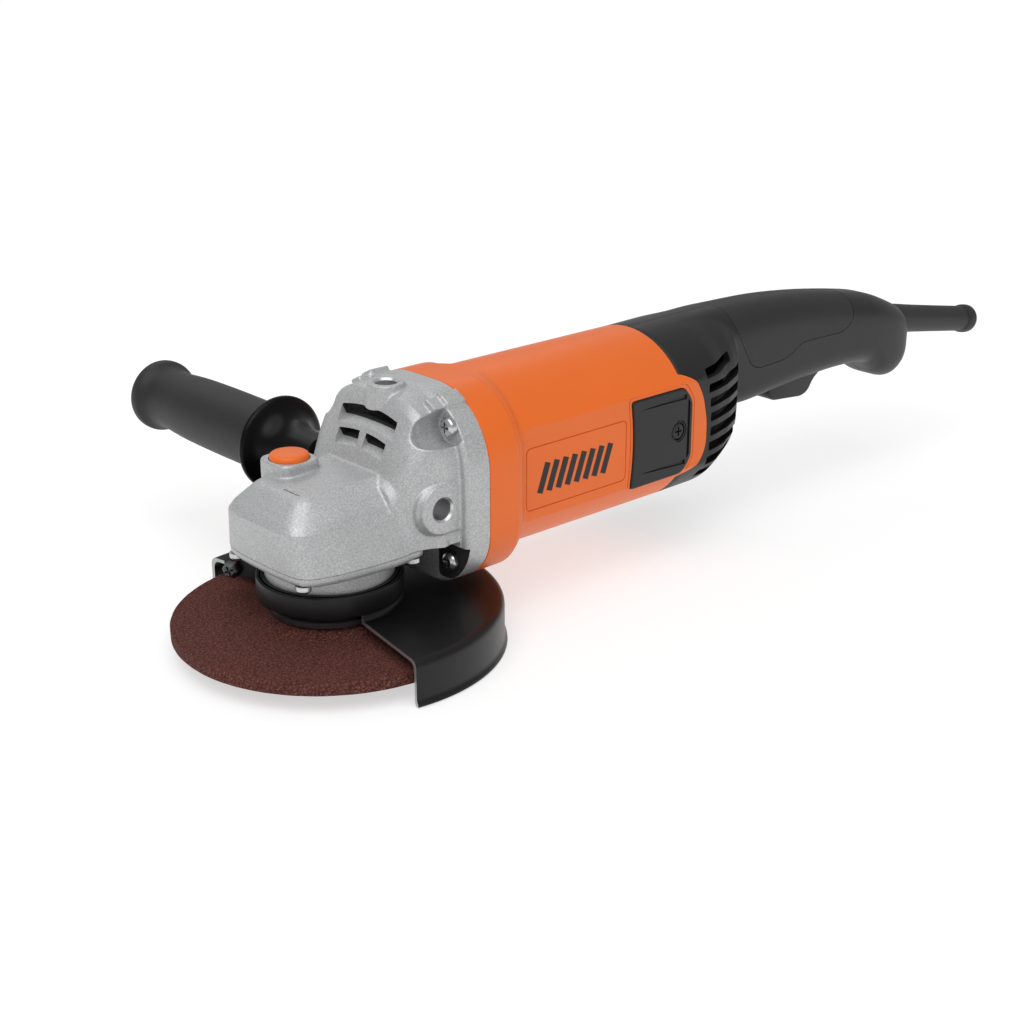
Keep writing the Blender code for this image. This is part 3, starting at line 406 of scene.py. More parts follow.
@once
def wheel_grit(finish):
    """Bonded abrasive: packed grains, pits between them, pale dust and darker resin in patches."""
    colour = colours().wheel
    grains = finish.cells(1.15)
    fine = finish.cells(0.55)
    patch = finish.noise(17.0, 5.0, 0.6)
    hue = finish.cells(1.15, out="Color")
    spark = finish.noise(1.0, 3.0, 0.8)
    resin = finish.mix(patch, tint(colour, 0.55), tint(colour, 1.1))
    grain_hue = finish.add("ShaderNodeSeparateColor", {}, {0: hue})
    varied = finish.mix(grain_hue * 0.5, resin, (0.15, 0.052, 0.042))
    dusty = finish.mix(spark.above(0.58, 0.12) * 0.6, varied, (0.24, 0.115, 0.09))
    pitted = finish.mix((1.0 - spark).above(0.57, 0.14) * 0.8, dusty, (0.016, 0.006, 0.005))
    return finish.done(
        base_color=pitted,
        roughness=0.78 + 0.18 * patch,
        specular_ior_level=0.2,
        normal=finish.bump(0.0 - (grains + 0.4 * fine), 0.34, 0.9),
    )


def metal(finish, colour, rough, grain=0.4, relief=0.015):
    """Plain metal with fine tool marks and a little tarnish."""
    marks = finish.noise(grain, 4.0, 0.6)
    tarnish = finish.noise(6.0, 4.0, 0.6)
    return finish.done(
        base_color=finish.mix(tarnish, tint(colour, 0.82), tint(colour, 1.12)),
        metallic=1.0,
        roughness=rough - 0.05 + 0.1 * tarnish + 0.05 * marks,
        normal=finish.bump(marks, relief),
    )


@once
def bright_steel(finish):
    return metal(finish, colours().steel, 0.24)


@once
def dark_steel(finish):
    return metal(finish, colours().oxide, 0.36, 0.6, 0.03)


@once
def black_oxide(finish):
    return metal(finish, (0.045, 0.045, 0.047), 0.36, 0.6, 0.03)


@once
def brass(finish):
    return metal(finish, colours().brass, 0.34)


def striped(finish, colour, pitch, relief, direction, metallic):
    """Close lines across a piece, for stacked sheets and wound wire."""
    values = {"Vector": finish.place, "Scale": 0.314 / (pitch * MM), "Distortion": 0.4}
    lines = finish.add("ShaderNodeTexWave", {"bands_direction": direction}, values, 1)
    drift = finish.noise(5.0, 3.0)
    return finish.done(
        base_color=finish.mix(lines * 0.6 + drift * 0.3, tint(colour, 0.45), tint(colour, 1.1)),
        metallic=metallic,
        roughness=0.34 + 0.2 * drift,
        normal=finish.bump(lines, relief),
    )


@once
def laminations(finish):
    return striped(finish, colours().oxide, 0.6, 0.1, "X", 0.9)


@once
def wound_copper(finish):
    return striped(finish, colours().copper, 0.8, 0.25, "Z", 0.8)


@once
def commutator_copper(finish):
    return metal(finish, colours().copper, 0.3, 0.3)


@once
def carbon(finish):
    return moulded(finish, colours().carbon, 0.6, 0.3, 0.04)


@once
def studio_paper(finish):
    """Pale seamless paper under the machine."""
    fibre = finish.noise(3.0, 3.0)
    return finish.done(
        base_color=finish.mix(fibre, (0.45, 0.45, 0.45), (0.47, 0.47, 0.47)),
        emission_color=(1.0, 1.0, 1.0, 1.0),
        emission_strength=0.57,
        roughness=0.85 + 0.05 * fibre,
        normal=finish.bump(fibre, 0.01),
    )


# ---------------------------------------------------------------- shapes

def to_object(name, shape, *looks):
    """An object from a bmesh in millimetres."""
    bmesh.ops.remove_doubles(shape, verts=shape.verts, dist=0.002)
    bmesh.ops.recalc_face_normals(shape, faces=shape.faces)
    bmesh.ops.scale(shape, verts=shape.verts, vec=(MM, MM, MM))
    mesh = bpy.data.meshes.new(name)
    shape.to_mesh(mesh)
    shape.free()
    obj = bpy.data.objects.new(name, mesh)
    bpy.context.scene.collection.objects.link(obj)
    for look in looks:
        mesh.materials.append(look)
    return obj


def shape_of(obj):
    """The object's mesh as a bmesh in millimetres; the object goes."""
    shape = bmesh.new()
    shape.from_mesh(obj.data)
    bmesh.ops.scale(shape, verts=shape.verts, vec=(1 / MM, 1 / MM, 1 / MM))
    bpy.data.objects.remove(obj, do_unlink=True)
    return shape


def applied(obj):
    """Makes the modified mesh the object's own and clears its modifiers."""
    graph = bpy.context.evaluated_depsgraph_get()
    result = bpy.data.meshes.new_from_object(obj.evaluated_get(graph))
    obj.modifiers.clear()
    obj.data = result
    return obj


def combine(obj, shapes, operation):
    for shape in shapes:
        tool = shape if isinstance(shape, bpy.types.Object) else to_object("tool", shape)
        if not tool.data.materials:
            for look in obj.data.materials:
                tool.data.materials.append(look)
        step = obj.modifiers.new("step", "BOOLEAN")
        step.operation = operation
        step.solver = "MANIFOLD"
        step.material_mode = "TRANSFER"
        step.object = tool
        applied(obj)
        bpy.data.objects.remove(tool, do_unlink=True)
        if not obj.data.polygons:
            raise RuntimeError(f"{obj.name} was lost in a {operation.lower()}")
    return obj


def join(obj, *shapes):
    return combine(obj, shapes, "UNION")


def cut(obj, *shapes):
    return combine(obj, shapes, "DIFFERENCE")


def keep(obj, *shapes):
    return combine(obj, shapes, "INTERSECT")


def softened(obj, step, passes, share):
    """Lays an even skin over the object, relaxes its edges, and thins the skin to a share of its faces."""
    skin = obj.modifiers.new("skin", "REMESH")
    skin.mode = "VOXEL"
    skin.voxel_size = step
    relax = obj.modifiers.new("relax", "SMOOTH")
    relax.factor = 0.5
    relax.iterations = passes
    thin = obj.modifiers.new("thin", "DECIMATE")
    thin.ratio = share
    return applied(obj)


def edged(obj, width, segments=2, angle=35.0):
    """Rounds the object's hard edges."""
    edge = obj.modifiers.new("edge", "BEVEL")
    edge.width = width * MM
    edge.segments = segments
    edge.limit_method = "ANGLE"
    edge.angle_limit = math.radians(angle)
    edge.use_clamp_overlap = True
    return applied(obj)


def paint(obj, look, chosen):
    """Gives a second finish to the faces that chosen(centre, normal) picks, with centres in millimetres."""
    obj.data.materials.append(look)
    number = len(obj.data.materials) - 1
    for face in obj.data.polygons:
        if chosen(face.center / MM, face.normal):
            face.material_index = number
    return obj


def finished(obj, body, slot, *replaced, angle=32.0):
    """Closes a piece: smooth shading, its body and the nodes that it stands for. The slot is not used."""
    mesh = obj.data
    mesh.validate()
    mesh.shade_smooth()
    mesh.set_sharp_from_angle(angle=math.radians(angle))
    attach(obj, body)
    if replaced:
        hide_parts(*replaced)
    return obj


def dressed(obj, *looks):
    obj.data.materials.clear()
    for look in looks:
        obj.data.materials.append(look)
    return obj


TURNS = {
    "X": Matrix.Rotation(math.radians(90), 4, "Y"),
    "Y": Matrix.Rotation(math.radians(-90), 4, "X"),
    "Z": Matrix.Identity(4),
}


def moved(shape, matrix):
    bmesh.ops.transform(shape, verts=shape.verts, matrix=matrix)
    return shape


def oriented(shape, axis, centre=(0.0, 0.0, 0.0)):
    return moved(shape, Matrix.Translation(centre) @ TURNS[axis])


def turned(profile, steps=None, start=0.0, sweep=360.0):
    """A solid of revolution: a closed (radius, height) outline turned about Z."""
    steps = steps or sizes().round_steps
    shape = bmesh.new()
    first = math.radians(start)
    corners = [shape.verts.new((r * math.cos(first), r * math.sin(first), height)) for r, height in profile]
    face = shape.faces.new(corners)
    if sweep < 360.0:
        bmesh.ops.spin(shape, geom=[face], axis=(0, 0, 1), cent=(0, 0, 0), steps=steps,
                       angle=math.radians(sweep))
        return shape
    bmesh.ops.delete(shape, geom=[face], context="FACES_ONLY")
    on_axis = [e for e in shape.edges if max(v.co.xy.length for v in e.verts) < 1e-6]
    bmesh.ops.delete(shape, geom=on_axis, context="EDGES")
    bmesh.ops.spin(shape, geom=list(shape.edges), axis=(0, 0, 1), cent=(0, 0, 0), steps=steps,
                   angle=math.tau, use_merge=True)
    bmesh.ops.remove_doubles(shape, verts=shape.verts, dist=0.001)
    return shape


def ring_profile(inner, outer, low, high):
    return [(inner, low), (outer, low), (outer, high), (inner, high)]


def loft(rings):
    """A closed skin over rings that have equal numbers of points."""
    shape = bmesh.new()
    rows = [[shape.verts.new(point) for point in ring] for ring in rings]
    for lower, upper in zip(rows, rows[1:]):
        for i in range(len(lower)):
            j = (i + 1) % len(lower)
            shape.faces.new((lower[i], lower[j], upper[j], upper[i]))
    shape.faces.new(rows[0])
    shape.faces.new(rows[-1])
    return shape


def prism(outline, axis, low, high):
    """An outline pushed along an axis: (y, z) points for X, (x, z) for Y, and (x, y) for Z."""
    place = {
        "X": lambda u, v, w: (w, u, v),
        "Y": lambda u, v, w: (u, w, v),
        "Z": lambda u, v, w: (u, v, w),
    }[axis]
    return loft([[place(u, v, w) for u, v in outline] for w in (low, high)])


def box(low, high):
    return prism([(low[0], low[1]), (high[0], low[1]), (high[0], high[1]), (low[0], high[1])],
                 "Z", low[2], high[2])


def rounded(outline, radius, steps=6):
    """The outline with each corner replaced by a curve of about this radius."""
    result = []
    for i, corner in enumerate(outline):
        here = Vector(corner)
        before = Vector(outline[i - 1]) - here
        after = Vector(outline[(i + 1) % len(outline)]) - here
        reach = min(radius, before.length * 0.48, after.length * 0.48)
        enter = here + before.normalized() * reach
        leave = here + after.normalized() * reach
        for k in range(steps + 1):
            t = k / steps
            bend = enter * (1 - t) ** 2 + here * (2 * t * (1 - t)) + leave * t ** 2
            result.append(tuple(bend))
    return result


def curved(points, steps, closed=False):
    """A smooth line through the points, with this many steps from each to the next."""
    count = len(points)
    vectors = [Vector(p) for p in points]

    def at(i):
        return vectors[i % count] if closed else vectors[max(0, min(count - 1, i))]

    line = []
    for i in range(count if closed else count - 1):
        a, b, c, d = (at(i + k) for k in (-1, 0, 1, 2))
        for k in range(steps):
            t = k / steps
            line.append(tuple(0.5 * (2 * b + (c - a) * t + (2 * a - 5 * b + 4 * c - d) * t ** 2
                                     + (3 * b - a - 3 * c + d) * t ** 3)))
    if not closed:
        line.append(tuple(vectors[-1]))
    return line


def eased(first, last, steps):
    """Rings between two rings, leaving and arriving smoothly."""
    rings = []
    for k in range(1, steps):
        t = k / steps
        t = t * t * (3 - 2 * t)
        along = k / steps
        ring = []
        for a, b in zip(first, last):
            ring.append((a[0] + (b[0] - a[0]) * along, a[1] + (b[1] - a[1]) * t, a[2] + (b[2] - a[2]) * t))
        rings.append(ring)
    return rings


def cylinder(radius, low, high, axis="Z", centre=(0.0, 0.0, 0.0), steps=48):
    return oriented(turned([(0, low), (radius, low), (radius, high), (0, high)], steps), axis, centre)


def countersunk(radius, mouth, low, high, chamfer, axis, centre):
    """A bore with a chamfered mouth at its high end when chamfer is above 0, else at its low end."""
    lip = abs(chamfer)
    wide = radius + lip
    if chamfer > 0:
        wall = [(radius, low), (radius, mouth - lip), (wide, mouth), (wide, high)]
    else:
        wall = [(wide, low), (wide, mouth), (radius, mouth + lip), (radius, high)]
    return oriented(turned([(0, low)] + wall + [(0, high)], 48), axis, centre)


def section(x, half, low, high, top_flat, top_r, low_flat, low_r):
    """A rounded section across X. Each corner is an arc centred at its flat, cut at the half width."""
    arc = 16
    points = []
    for side, centre_z, radius, flat, up in (
        (1, high - top_r, top_r, top_flat, 1), (-1, high - top_r, top_r, top_flat, 1),
        (-1, low + low_r, low_r, low_flat, -1), (1, low + low_r, low_r, low_flat, -1),
    ):
        first = math.acos(min(1.0, (half - flat) / radius))
        angles = [first + (math.pi / 2 - first) * k / arc for k in range(arc + 1)]
        if side * up < 0:
            angles.reverse()
        for angle in angles:
            y = side * (flat + radius * math.cos(angle))
            points.append((x, y, centre_z + up * radius * math.sin(angle)))
    return points


def rounded_section(x, half, low, high, top_r, low_r):
    return section(x, half, low, high, half - top_r, top_r, half - low_r, low_r)


def flange_section(x, inset=0.0):
    half = FLANGE_HALF - inset
    return rounded_section(x, half, MOTOR_Z - half, MOTOR_Z + half,
                           FLANGE_TOP_R - inset, FLANGE_LOW_R - inset)


def barrel_section(x, inset=0.0):
    radius = BARREL_R - inset
    return section(x, BARREL_HALF - inset, MOTOR_Z - radius, MOTOR_Z + radius, 0.0, radius, 0.0, radius)


def span(side, near, far):
    """The lowest and highest Y between two distances from the middle plane, on one side."""
    return sorted((side * near, side * far))


def facing(side):
    """Turns a shape built along +Z to face out of one side."""
    return Matrix.Rotation(math.radians(-90 * side), 4, "X")


def side_plates(outline, low, high):
    return [prism(outline, "Y", low, high), prism(outline, "Y", -high, -low)]


# ---------------------------------------------------------------- repeated pieces

class Layout(Tree):
    """A Geometry Nodes tree with named inputs."""

    def __init__(self, name, inputs):
        super().__init__(bpy.data.node_groups.new(name, "GeometryNodeTree"))
        face = self.tree.interface
        face.new_socket("Geometry", in_out="INPUT", socket_type="NodeSocketGeometry")
        for label, (kind, value) in inputs.items():
            socket = face.new_socket(label, in_out="INPUT", socket_type="NodeSocket" + kind)
            if value is not None:
                socket.default_value = value
        face.new_socket("Geometry", in_out="OUTPUT", socket_type="NodeSocketGeometry")
        self.entry = self.tree.nodes.new("NodeGroupInput")

    def given(self, label):
        return Signal(self, self.entry.outputs[label])

    def drum(self, low_r, high_r, depth, lift, sides):
        """A round block with its foot at the height lift."""
        values = {"Vertices": sides, "Radius Bottom": low_r, "Radius Top": high_r, "Depth": depth}
        block = self.add("GeometryNodeMeshCone", {}, values)
        return self.add("GeometryNodeTransform", {}, {"Geometry": block, "Translation": self.up(lift)})

    def up(self, height):
        return self.add("ShaderNodeCombineXYZ", {}, {"Z": height})

    def brick(self, x, y, z):
        size = self.add("ShaderNodeCombineXYZ", {}, {"X": x, "Y": y, "Z": z})
        return self.add("GeometryNodeMeshCube", {}, {"Size": size})

    def close(self, instances):
        """Realises the instances, gives them their material and ends the tree."""
        real = self.add("GeometryNodeRealizeInstances", {}, {"Geometry": instances})
        values = {"Geometry": real, "Material": self.given("Material")}
        made = self.add("GeometryNodeSetMaterial", {}, values)
        self.add("NodeGroupOutput", {}, {"Geometry": made})
        return self.tree


def screw_layout():
    """A cross-head screw on each point, its shank along the point's aim attribute."""
    lay = Layout("Screws", {
        "Head Radius": ("Float", 0.004), "Head Height": ("Float", 0.003), "Shank Radius": ("Float", 0.002),
        "Length": ("Float", 0.015), "Drive Width": ("Float", 0.0009), "Drive Depth": ("Float", 0.0012),
        "Sides": ("Int", 32), "Material": ("Material", None),
    })
    radius, height, sides = lay.given("Head Radius"), lay.given("Head Height"), lay.given("Sides")
    crown = lay.drum(radius * 0.62, radius * 0.90, height * 0.22, 0.0, sides)
    dome = lay.drum(radius * 0.90, radius, height * 0.22, height * 0.22, sides)
    head = lay.drum(radius, radius, height * 0.56, height * 0.44, sides)
    shank_radius = lay.given("Shank Radius")
    shank = lay.drum(shank_radius, shank_radius, lay.given("Length") - height, height, 16)
    union = {"operation": "UNION"}
    body = lay.add("GeometryNodeMeshBoolean", union, {"Mesh 2": [crown, dome, head, shank]})
    reach, width, depth = radius * 1.15, lay.given("Drive Width"), lay.given("Drive Depth") * 2.0
    bars = [lay.brick(reach, width, depth), lay.brick(width, reach, depth)]
    drive = lay.add("GeometryNodeMeshBoolean", union, {"Mesh 2": bars})
    meshes = {"Mesh 1": body, "Mesh 2": drive}
    cut_head = lay.add("GeometryNodeMeshBoolean", {"operation": "DIFFERENCE"}, meshes)
    aim = lay.add("GeometryNodeInputNamedAttribute", {"data_type": "FLOAT_VECTOR"}, {"Name": "aim"})
    turn = lay.add("FunctionNodeAlignRotationToVector", {"axis": "Z"}, {"Vector": aim})
    placed = {"Points": lay.given("Geometry"), "Instance": cut_head, "Rotation": turn}
    return lay.close(lay.add("GeometryNodeInstanceOnPoints", {}, placed))


def row_layout():
    """Equal bars in a row, each turned about Y by the slant."""
    lay = Layout("Row of bars", {
        "Count": ("Int", 8), "Start": ("Vector", (0, 0, 0)), "Step": ("Vector", (0.006, 0, 0)),
        "Size": ("Vector", (0.003, 0.001, 0.01)), "Slant": ("Float", 0.3), "Material": ("Material", None),
    })
    line = {"Count": lay.given("Count"), "Start Location": lay.given("Start"), "Offset": lay.given("Step")}
    bar = lay.add("GeometryNodeMeshCube", {}, {"Size": lay.given("Size")})
    lean = lay.add("ShaderNodeCombineXYZ", {}, {"Y": lay.given("Slant")})
    turn = lay.add("FunctionNodeEulerToRotation", {}, {"Euler": lean})
    placed = {"Points": lay.add("GeometryNodeMeshLine", {}, line), "Instance": bar, "Rotation": turn}
    return lay.close(lay.add("GeometryNodeInstanceOnPoints", {}, placed))


def ring_layout():
    """Equal blocks round the Z axis, each facing outwards."""
    lay = Layout("Ring of blocks", {
        "Count": ("Int", 24), "Radius": ("Float", 0.01), "Size": ("Vector", (0.003, 0.001, 0.01)),
        "Material": ("Material", None),
    })
    values = {"Vertices": lay.given("Count"), "Radius": lay.given("Radius")}
    circle = lay.add("GeometryNodeMeshCircle", {}, values)
    block = lay.add("GeometryNodeMeshCube", {}, {"Size": lay.given("Size")})
    place = lay.add("GeometryNodeInputPosition")
    turn = lay.add("FunctionNodeAlignRotationToVector", {"axis": "X"}, {"Vector": place})
    placed = {"Points": circle, "Instance": block, "Rotation": turn}
    return lay.close(lay.add("GeometryNodeInstanceOnPoints", {}, placed))


def laid_out(name, make, values, points=((0.0, 0.0, 0.0),), aims=None):
    """Runs a layout on points in millimetres and gives the plain mesh object."""
    mesh = bpy.data.meshes.new(name)
    mesh.from_pydata([tuple(Vector(p) * MM) for p in points], [], [])
    if aims:
        attribute = mesh.attributes.new("aim", "FLOAT_VECTOR", "POINT")
        for item, aim in zip(attribute.data, aims):
            item.vector = aim
    obj = bpy.data.objects.new(name, mesh)
    bpy.context.scene.collection.objects.link(obj)
    tree = make()
    layout = obj.modifiers.new("layout", "NODES")
    layout.node_group = tree
    keys = {item.name: item.identifier for item in tree.interface.items_tree if item.in_out == "INPUT"}
    for label, value in values.items():
        layout[keys[label]] = value
    return applied(obj)


def screws(name, places, head_r, head_h, shank_r, length, look, sides=32):
    """Screws whose heads' outer faces are at the places, given as (point, direction) pairs."""
    width = sizes().drive_width * max(0.75, head_r / 4.2)
    values = {
        "Head Radius": head_r * MM, "Head Height": head_h * MM, "Shank Radius": shank_r * MM,
        "Length": length * MM, "Drive Width": width, "Drive Depth": min(head_h * 0.6, 1.6) * MM,
        "Sides": sides, "Material": look,
    }
    return laid_out(name, screw_layout, values, [p for p, _ in places], [d for _, d in places])


# ---------------------------------------------------------------- gear head

SEAM_PLAN = [(-38.6, 0), (-38.2, 15), (-36.8, 25.5), (-33.6, 30.6), (-28, 33.4), (-14, 36.4), (8, 38.1),
             (24, 37), (40, 37)]
SHOULDER_PLAN = [(-40.6, 0), (-40.2, 14), (-38.6, 22.5), (-35.6, 26.6), (-30, 29.2), (-18, 31), (5, 31.6),
                 (20, 34), (40, 35)]
CREST_PLAN = [(-38.6, 0), (-38.2, 13), (-36.8, 20.8), (-33.8, 24.7), (-28.6, 27), (-17, 28.8), (5, 29.6),
              (20, 31), (40, 33)]
RIM_PLAN = [(-29.8, 0), (-29.6, 11), (-28.6, 16.2), (-26, 18.8), (-22, 19.9), (-9, 20.4), (8, 20.8),
            (16, 21), (40, 21)]
PLATEAU_PLAN = [(-27.6, 0), (-27.4, 10), (-26.5, 14.5), (-24, 16.8), (-20.6, 17.7), (-9, 18.2), (8, 18.6),
                (16, 19), (40, 19)]


def head_outline(z, points, slope=0.0):
    """The head's smooth plan at one height: half of it is listed from the front to the rear."""
    front_x = points[0][0]
    near = [(x, -y, z + slope * (x - front_x)) for x, y in points]
    far = [(x, y, z + slope * (x - front_x)) for x, y in reversed(points[1:])]
    return curved(near + far, 5, closed=True)


def head_block():
    slope = 2.0 / 43.6
    return loft([
        head_outline(SEAM_Z - 5.0, SEAM_PLAN),
        head_outline(SEAM_Z, SEAM_PLAN),
        head_outline(61.5, SHOULDER_PLAN),
        head_outline(65.0, CREST_PLAN),
        head_outline(72.8, RIM_PLAN, slope),
        head_outline(74.3, PLATEAU_PLAN, slope),
    ])


def throat():
    """The rising rear part of the gear case, up to its round top."""
    sizes_along = [
        (12.0, 33.0, 38.0, 73.0, 13.0), (15.5, 34.0, 38.0, 76.2, 13.5), (22.5, 37.0, 38.0, 91.5, 17.0),
        (28.5, 39.0, 38.0, 103.6, 22.0), (32.0, 40.0, 38.0, 107.6, 26.0), (37.0, 41.0, 38.0, 109.3, 31.0),
        (48.0, 42.0, 38.0, 109.6, 35.0),
    ]
    return loft([rounded_section(x, half, low, high, top, 2.0) for x, half, low, high, top in sizes_along])


def lock_boss():
    base = rounded([(-19, 6), (3.5, 6), (3.5, 28.6), (-19, 28.6)], 7.0)
    top = [(LOCK_X + (x - LOCK_X) * 0.95, LOCK_Y + (y - LOCK_Y) * 0.95) for x, y in base]
    return loft([
        [(x, y, 66.0) for x, y in base], [(x, y, 79.6) for x, y in base], [(x, y, 80.6) for x, y in top],
    ])


# Each vent's x and z, half its height, and its left and right ends.
VENTS = ((23.8, 96.4, 2.9, -20.5, 20.5), (19.6, 86.6, 2.6, -17.5, -2.2), (19.6, 86.6, 2.6, 2.2, 17.5))
VENT_LEAN = math.radians(-26.5)
VENT_BOW = 1.6
VENT_REACH = 20.5


def slope_vents(front, rear, look, inset=0.0):
    """Three openings across the face that rises at the rear of the head, each a little bowed."""
    steps = 10
    tools = []
    for x, z, half, left, right in VENTS:
        lower, upper = [], []
        for k in range(steps + 1):
            y = left + inset + (right - left - 2 * inset) * k / steps
            bow = -VENT_BOW * (y / VENT_REACH) ** 2
            lower.append((y, bow - half + inset))
            upper.append((y, bow + half - inset))
        place = Matrix.Translation((x, 0, z)) @ Matrix.Rotation(VENT_LEAN, 4, "Y")
        shape = moved(prism(lower + upper[::-1], "X", front, rear), place)
        tools.append(to_object("vent_tool", shape, look))
    return tools


def case_screw_places():
    return [(side * CASE_SCREW_Y, MOTOR_Z + up * CASE_SCREW_DZ) for up in (1, -1) for side in SIDES]


def edge_lugs():
    """Square lugs on the shoulders of the flange, a high and a low one on each round corner."""
    inward = FLANGE_HALF - FLANGE_TOP_R

    def lug(foot, tip, low, high, front, rear):
        outline = [(-foot, FLANGE_TOP_R + low), (foot, FLANGE_TOP_R + low),
                   (tip, FLANGE_TOP_R + high), (-tip, FLANGE_TOP_R + high)]
        return prism(outline, "X", front, rear)

    lugs = []
    for side in SIDES:
        lean = side * math.radians(28.0)
        corner = Matrix.Translation((0, side * inward, MOTOR_Z + inward)) @ Matrix.Rotation(-lean, 4, "X")
        lugs.append(moved(lug(5.0, 4.0, -6, 2.6, 46.0, 57.0), corner))
        lugs.append(moved(lug(4.6, 3.4, -8, 0.9, 39.0, 47.0), corner))
    return lugs


def screw_scoop(side, y, z):
    """The hollow in the case in front of an upper screw: a round pocket that runs out to a point."""
    profile = [(0, 20.0), (2.4, 21.0), (5.4, 25.0), (7.5, 30.5), (8.6, 37.0), (8.8, 41.0), (8.8, 46.2),
               (0, 46.2)]
    return oriented(turned(profile, 64), "X", (0, y + side * 0.7, z))


def gear_case():
    obj = to_object("gear_case_casting", head_block(), cast_aluminium())
    join(obj, throat())
    flange = loft([
        flange_section(FLANGE_JOINT - 13.8, 1.6), flange_section(FLANGE_JOINT - 12.0),
        flange_section(FLANGE_JOINT + 4.0),
    ])
    join(obj, flange, lock_boss())
    boss = [(0, 28.0), (13.4, 28.0), (13.2, 39.0), (12.2, 40.6), (11.9, SIDE_SOCKET_FACE),
            (0, SIDE_SOCKET_FACE)]
    for side in SIDES:
        join(obj, moved(turned(boss, 64), Matrix.Translation((SOCKET_X, 0, SOCKET_Z)) @ facing(side)))
        ledge = [(SOCKET_X, SOCKET_Z - 12.1), (50, SOCKET_Z - 12.1), (50, SOCKET_Z + 12.6),
                 (SOCKET_X, SOCKET_Z + 12.1)]
        join(obj, prism(ledge, "Y", *span(side, 30.0, SIDE_SOCKET_FACE - 0.1)))
    top_boss = [(0, 96), (10.6, 96), (9.6, 107.5), (8.6, TOP_SOCKET_FACE), (0, TOP_SOCKET_FACE)]
    join(obj, oriented(turned(top_boss, 64), "Z", TOP_SOCKET), *edge_lugs())
    places = case_screw_places()
    cut(obj, *[screw_scoop(math.copysign(1, y), y, z) for y, z in places[:2]])
    softened(obj, sizes().cast_grain, sizes().cast_softness, 0.45)
    cut(obj, box((-60, -60, 0), (FLANGE_JOINT - 14.1, 60, SEAM_Z)))
    keep(obj, box((-60, -60, 0), (FLANGE_JOINT - GAP / 2, 60, 130)))
    # The vents' first millimetres keep the silver paint; deeper in, their walls take the near-black painted
    # shade.
    cut(obj, *slope_vents(-9.0, 2.4, cast_aluminium()))
    cut(obj, *slope_vents(1.8, 15.0, shaded_casting(), inset=0.2))
    gear_room = turned([(0, 40.0), (28.8, 40.0), (28.8, 59.6), (8.8, 59.6), (8.8, 70.8), (0, 70.8)], 64)
    cut(obj, gear_room, cylinder(11.4, 14.0, 48.0, "X", (0, 0, MOTOR_Z)),
        cylinder(16.3, 46.7, 60.0, "X", (0, 0, MOTOR_Z)), box((29.0, -24.0, 83.0), (60.0, 24.0, 103.0)))
    cut(obj, cylinder(2.9, 58.0, 90.0, "Z", (LOCK_X, LOCK_Y, 0)),
        cylinder(BUTTON_R + 0.4, 74.2, 90.0, "Z", (LOCK_X, LOCK_Y, 0), 64))
    holes = []
    for y, z in places:
        holes.append(cylinder(6.6, 34.0, 46.0, "X", (0, y, z)))
        holes.append(cylinder(2.9, 40.0, 60.0, "X", (0, y, z)))
    # The notches round the lower screws get near-black walls: painted shade in these recesses.
    for y, z in places[2:]:
        low, high = sorted((y - math.copysign(8.5, y), y + math.copysign(14.0, y)))
        notch = rounded([(low, z - 9.5), (high, z - 9.5), (high, z + 9.0), (low, z + 9.0)], 3.0)
        holes.append(to_object("notch_tool", prism(notch, "X", 30.0, 46.4), shaded_casting()))
    holes += [cylinder(2.1, 38.0, 53.0, "Z", (x, y, 0), 24) for x, y in COVER_SCREWS]
    cut(obj, *holes)
    cut(obj, box((-25.2, -14.0, 73.6), (-24.4, -2.0, 80.0)))
    obj.data.materials.append(machined_aluminium())
    for side in SIDES:
        low, high = span(side, 27.3, 60.0)
        cut(obj, socket_bore(side * SIDE_SOCKET_FACE, low, high, side, "Y", (SOCKET_X, 0, SOCKET_Z)))
    cut(obj, socket_bore(TOP_SOCKET_FACE, 103.5, 130.0, 1, "Z", TOP_SOCKET))
    return finished(obj, "machine", "cast_aluminium", "gear_case", angle=38.0)


def socket_bore(mouth, low, high, chamfer, axis, centre):
    """The cutter of a side handle socket, whose faces leave bare metal behind."""
    bore = countersunk(SOCKET_BORE_R, mouth, low, high, chamfer, axis, centre)
    return to_object("bore_tool", bore, machined_aluminium())


def gear_cover():
    plan = SEAM_PLAN[:7] + [(20, 37.4), (27, 36), (30.5, 30), (31.5, 16)]

    def ring(z, inset):
        return head_outline(z, [(x * (1 - inset / 34.0), y * (1 - inset / 36.0)) for x, y in plan])

    levels = [(37.0, 3.0), (37.3, 1.9), (38.0, 1.0), (38.9, 0.45), (40.0, 0.25), (COVER_TOP - 0.4, 0.2),
              (COVER_TOP, 0.5)]
    obj = to_object("gear_cover_casting", loft([ring(z, inset) for z, inset in levels]), cast_aluminium())
    collar = [(0, 17.4), (29.9, 17.4), (30.3, 17.8), (30.3, 34.6), (31.6, 36.4), (31.6, 40.0), (0, 40.0)]
    join(obj, turned(collar))
    cut(obj, turned([(0, 16.0), (18.0, 16.0), (18.0, 21.8), (20.2, 21.8), (20.2, 34.4), (17.0, 34.4),
                     (17.0, 45.0), (0, 45.0)]))
    for x, y in COVER_SCREWS:
        cut(obj, cylinder(2.1, 30.0, 45.0, "Z", (x, y, 0), 24), cylinder(4.4, 30.0, 38.4, "Z", (x, y, 0)))
    return finished(obj, "machine", "cast_aluminium", "gear_case_cover")


def head_screws():
    cover = [((x, y, 34.4), (0, 0, 1)) for x, y in COVER_SCREWS]
    obj = screws("cover_screws", cover, 3.7, 3.6, 1.8, 17.0, bright_steel())
    finished(obj, "machine", "bright_steel", *[f"cover_screw_{k}" for k in range(1, 5)])
    case = [((42.0, y, z), (1, 0, 0)) for y, z in case_screw_places()]
    obj = screws("case_screws", case, 4.5, 3.7, 2.4, 32.0, bright_steel())
    finished(obj, "machine", "bright_steel", *[f"gear_case_screw_{k}" for k in range(1, 5)])


